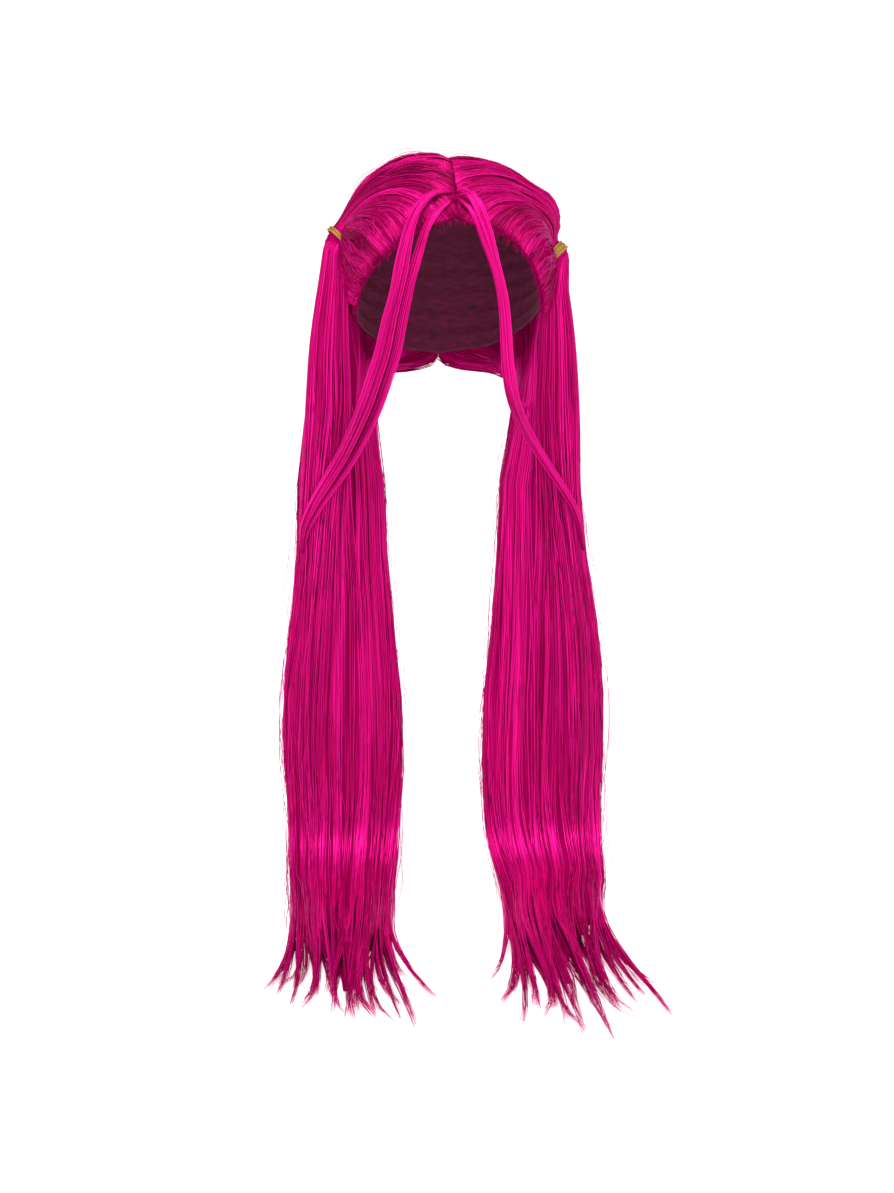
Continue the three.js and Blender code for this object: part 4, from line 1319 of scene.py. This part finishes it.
def tail_skin(side):
    tail = smooth_sheet(tail_rings(side), TAIL_SKIN_SHEET)[0][:TAIL_SKIN_ROWS]
    middle = tail.mean(axis=1, keepdims=True)
    ended = smoothstep(np.arange(TAIL_SKIN_ROWS), TAIL_SKIN_FULL, TAIL_SKIN_ROWS - 1)
    return middle + (tail - middle) * (1 - TAIL_SKIN_LOST * ended)[:, None, None]


def tied_hair(side):
    parts = [skin_part(on_side(side, skin)) for skin in (fan_skin(side), tail_skin(side))]
    parts += [fan_strands(side), tail_strands(side), crown_wisps(side), baby_hairs(side)]
    return mesh_object("hair_tied_" + side, parts, HAIR)


for side in SIDES:
    piece = tied_hair(side)
    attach(piece, "root")
    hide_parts("tied_section_" + side)

# %% [markdown]
# A loose strand leaves the part on each side. It arches over the crown hair, falls in front
# of the face and comes to rest on the long hair. Most of its locks are in one group, and a
# thinner group beside it, on the face side, has roots of its own. Lower down both follow one
# line, at their own places across it, and close up at the tip.

# %% Front strands
STRAND_DROP = 0.308
STRAND_WIDTH = 0.025
STRAND_THICKNESS = 0.010
STRAND_TOP = 0.017
# Azimuth, elevation and height over the head form in millimetres
STRAND_ROOTS = {
    "right": {
        "main": [(2, 42.5, 11), (7, 42.2, 15), (12.2, 40.5, 16), (16.2, 37, 16), (19.8, 31.5, 15)],
        "inner": [(1.2, 39.8, 11), (4.5, 37.5, 13), (8.2, 34, 14), (11.8, 29.5, 14), (14, 25.5, 13)],
    },
    "left": {
        "main": [(0.5, 42.5, 11), (3.8, 42, 15), (7, 39, 16), (9, 35.5, 16), (10.5, 31.2, 15)],
        "inner": [(0.2, 39.8, 11), (3, 37.2, 13), (6, 33.8, 14), (7.8, 29.8, 14), (9.2, 26.2, 13)],
    },
}
# Share of the drop, place outward and place forward, before the brow
STRAND_BROW = {
    "right": {
        "main": [(0.098, 0.271, 0.98), (0.144, 0.297, 0.997), (0.197, 0.321, 1.004)],
        "inner": [(0.136, 0.203, 0.999), (0.182, 0.234, 1.016), (0.235, 0.271, 1.012)],
    },
    "left": {
        "main": [(0.09, 0.152, 1.033), (0.133, 0.179, 1.057), (0.192, 0.212, 1.072)],
        "inner": [(0.123, 0.135, 1.041), (0.156, 0.162, 1.065), (0.208, 0.201, 1.07)],
    },
}
# Half widths in millimetres at the roots and before the brow
STRAND_HALVES = {
    "right": {
        "main": [1.2, 2.6, 4, 5, 5.6, 6.4, 7.2, 8],
        "inner": [1, 1.8, 2.4, 2.8, 3, 3.6, 4, 4.4],
    },
    "left": {
        "main": [1.2, 2.6, 4, 4.6, 4.8, 4.4, 3.8, 3.2],
        "inner": [1, 1.5, 1.9, 2, 2, 1.8, 1.6, 1.4],
    },
}
# Place across the line, share of its width, number of locks
STRAND_SHARES = {
    "right": {"main": (-0.34, 0.66, 3), "inner": (0.5, 0.46, 2)},
    "left": {"main": (-0.2, 0.74, 2), "inner": (0.52, 0.42, 1)},
}
# The lower line: share of the drop, outward, forward, width, thickness
STRAND_ROWS = {
    "right": [
        (0.26, 0.324, 1.01, 0.88, 1),
        (0.335, 0.366, 1, 0.96, 1),
        (0.41, 0.4, 0.985, 1, 1),
        (0.485, 0.45, 0.93, 1, 1),
        (0.56, 0.5, 0.82, 0.96, 1),
        (0.64, 0.565, 0.65, 0.9, 0.95),
        (0.7, 0.62, 0.51, 0.86, 0.9),
        (0.76, 0.69, 0.41, 0.82, 0.85),
        (0.84, 0.79, 0.3, 0.64, 0.75),
        (0.92, 0.865, 0.17, 0.42, 0.6),
        (1, 0.885, 0.05, 0.12, 0.2),
    ],
    "left": [
        (0.275, 0.254, 1.05, 0.36, 0.7),
        (0.365, 0.275, 1.04, 0.4, 0.75),
        (0.44, 0.29, 1, 0.44, 0.75),
        (0.515, 0.32, 0.93, 0.48, 0.8),
        (0.575, 0.366, 0.8, 0.46, 0.8),
        (0.65, 0.455, 0.62, 0.44, 0.75),
        (0.72, 0.556, 0.49, 0.4, 0.7),
        (0.8, 0.672, 0.4, 0.36, 0.65),
        (0.87, 0.764, 0.32, 0.3, 0.6),
        (0.94, 0.815, 0.19, 0.24, 0.5),
        (1, 0.835, 0.1, 0.1, 0.2),
    ],
}
MILLIMETRES = 1000
ROOT_THICKNESS = (0.35, 0.9)
FIBRES_PER_LOCK = 44
STRAND_STEPS = 44
LOCK_SPREAD = 0.72
LOCK_ASIDE = 0.1
LOCK_AHEAD = 0.45
LOCK_WIDE = 1.2
LOCK_DEEP = 0.5
LOCK_TWIST = 0.5
SHORT_SHARE = 0.35
SHORT_REACH = 0.75
FRONT_RADII = (0.00028, 0.0005)
FRONT_TONES = (0.5, 0.85)
FRONT_TONE_SPREAD = 0.14


def hung(rows):
    return np.stack(
        [rows[:, 1] * REACH, -rows[:, 2] * HALF_LENGTH, -STRAND_TOP - rows[:, 0] * STRAND_DROP], -1
    )


def strand_line(side, group):
    shift, share, _ = STRAND_SHARES[side][group]
    roots = np.array(STRAND_ROOTS[side][group], float)
    rows = np.array(STRAND_ROWS[side])
    at_roots = head_point(direction(roots[:, 0], roots[:, 1]), roots[:, 2] / MILLIMETRES)
    half = rows[:, 3] * STRAND_WIDTH / 2
    lower = hung(rows)
    lower[:, 0] -= shift * half
    middles = np.concatenate([at_roots, hung(np.array(STRAND_BROW[side][group])), lower])
    upper = np.array(STRAND_HALVES[side][group])
    wide = np.concatenate([upper / MILLIMETRES, half * share])
    thick = np.concatenate([np.linspace(*ROOT_THICKNESS, len(upper)), rows[:, 4]])
    thick = thick * STRAND_THICKNESS / 2
    halves = np.stack([wide, thick, 0 * wide], -1)
    both, _ = smooth_sheet(np.stack([middles, halves], 1), STRAND_STEPS)
    return both[:, 0], both[:, 1]


def drift(amount, fastest, flow):
    return amount * np.sin(random.uniform(2, fastest) * flow + random.uniform(0, 6))


def strand_group(side, group):
    line, half = strand_line(side, group)
    way = unit(np.gradient(line, axis=0))
    face_out = unit(line - CENTRE)
    face_out[:, 2] *= 1 - smoothstep(np.linspace(0, 1, len(line)), 0.1, 0.3)
    across = unit(np.cross(way, unit(face_out)))
    deep = np.cross(across, way)
    wide, thick = half[:, :1], half[:, 1:2]
    locks = STRAND_SHARES[side][group][2]
    flow = np.linspace(0, 1, STRAND_STEPS)
    parts = []
    for lock in range(locks):
        place = (lock + 0.5) / locks * 2 - 1
        aside = place * LOCK_SPREAD + drift(LOCK_ASIDE, 5, flow)
        ahead = drift(LOCK_AHEAD, 6, flow)
        middle = line + across * wide * aside[:, None] + deep * thick * ahead[:, None]
        n = FIBRES_PER_LOCK
        ring = random.uniform(0, 2 * np.pi, (n, 1)) + random.normal(0, LOCK_TWIST, (n, 1)) * flow
        far = np.sqrt(random.uniform(0, 1, (n, 1))) * (1 + 0.1 * np.sin(5 * flow + 6 * ring))
        wide_here = (np.cos(ring) * far)[..., None] * (across * wide)[None] * LOCK_WIDE / locks
        deep_here = (np.sin(ring) * far)[..., None] * (deep * thick)[None] * LOCK_DEEP
        paths = middle[None] + wide_here + deep_here
        short = random.uniform(size=(n, 1)) < SHORT_SHARE
        places = flow[None, :] * np.where(short, random.uniform(SHORT_REACH, 1, (n, 1)), 1)
        places = places * (STRAND_STEPS - 1)
        k = np.minimum(places.astype(int), STRAND_STEPS - 2)
        part_way = (places - k)[..., None]
        which = np.arange(n)[:, None]
        paths = paths[which, k] * (1 - part_way) + paths[which, k + 1] * part_way
        radius = random.uniform(*FRONT_RADII, n)
        tone = random.uniform(*FRONT_TONES) + random.normal(0, FRONT_TONE_SPREAD, (n, 1))
        taper = taper_of(STRAND_STEPS, 0.03, 0.2)
        parts.append(strand_part(on_side(side, paths), radius, taper, np.clip(tone, 0, 1)))
    return parts


def front_strand(side):
    parts = strand_group(side, "main") + strand_group(side, "inner")
    return mesh_object("hair_front_" + side, parts, HAIR)


for side in SIDES:
    piece = front_strand(side)
    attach(piece, "root")
    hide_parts("front_strand_" + side)

# %% [markdown]
# The elastics are turns of round yellow cord. One turn is modelled as a torus, and its copies
# lie side by side round the bunch, every second one tilted a little.

# %% Elastics
TURN_TILT = 0.05
TURN_SEGMENTS = 56
CORD_SEGMENTS = 12


def elastic_band(side):
    middle, way = bunch_at(side)
    middle, way = on_side(side, middle), on_side(side, way)
    turns = CORD_TURNS[side]
    tilt = Vector(way).to_track_quat("Z", "Y").to_euler()
    rings = []
    for turn in range(turns):
        lean = TURN_TILT * (turn % 2)
        bpy.ops.mesh.primitive_torus_add(
            major_segments=TURN_SEGMENTS,
            minor_segments=CORD_SEGMENTS,
            major_radius=BUNCH_RADIUS + CORD_RADIUS + AIR,
            minor_radius=CORD_RADIUS,
            location=middle + way * CORD_PITCH * (turn - (turns - 1) / 2),
            rotation=(tilt.x + lean, tilt.y, tilt.z),
        )
        rings.append(bpy.context.object)
        bpy.ops.object.transform_apply(location=True, rotation=True, scale=True)
    bpy.ops.object.select_all(action="DESELECT")
    for ring in rings:
        ring.select_set(True)
    bpy.context.view_layer.objects.active = rings[0]
    bpy.ops.object.join()
    band = bpy.context.object
    band.name = "band_" + side
    band.data.uv_layers[0].name = "flow"
    band.data.materials.clear()
    band.data.materials.append(cord)
    bpy.ops.object.shade_smooth()
    bpy.ops.object.select_all(action="DESELECT")
    return band


for side in SIDES:
    band = elastic_band(side)
    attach(band, "root")
    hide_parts("elastic_" + side)
    print(band.name, len(band.data.polygons), "faces")

# %% [markdown]
# The box of the solids is printed. The dressed wig has to stay in the solids' box, apart
# from a little that fibre may stand proud.

# %% Size and finish
print("cad box", CAD_BOX)
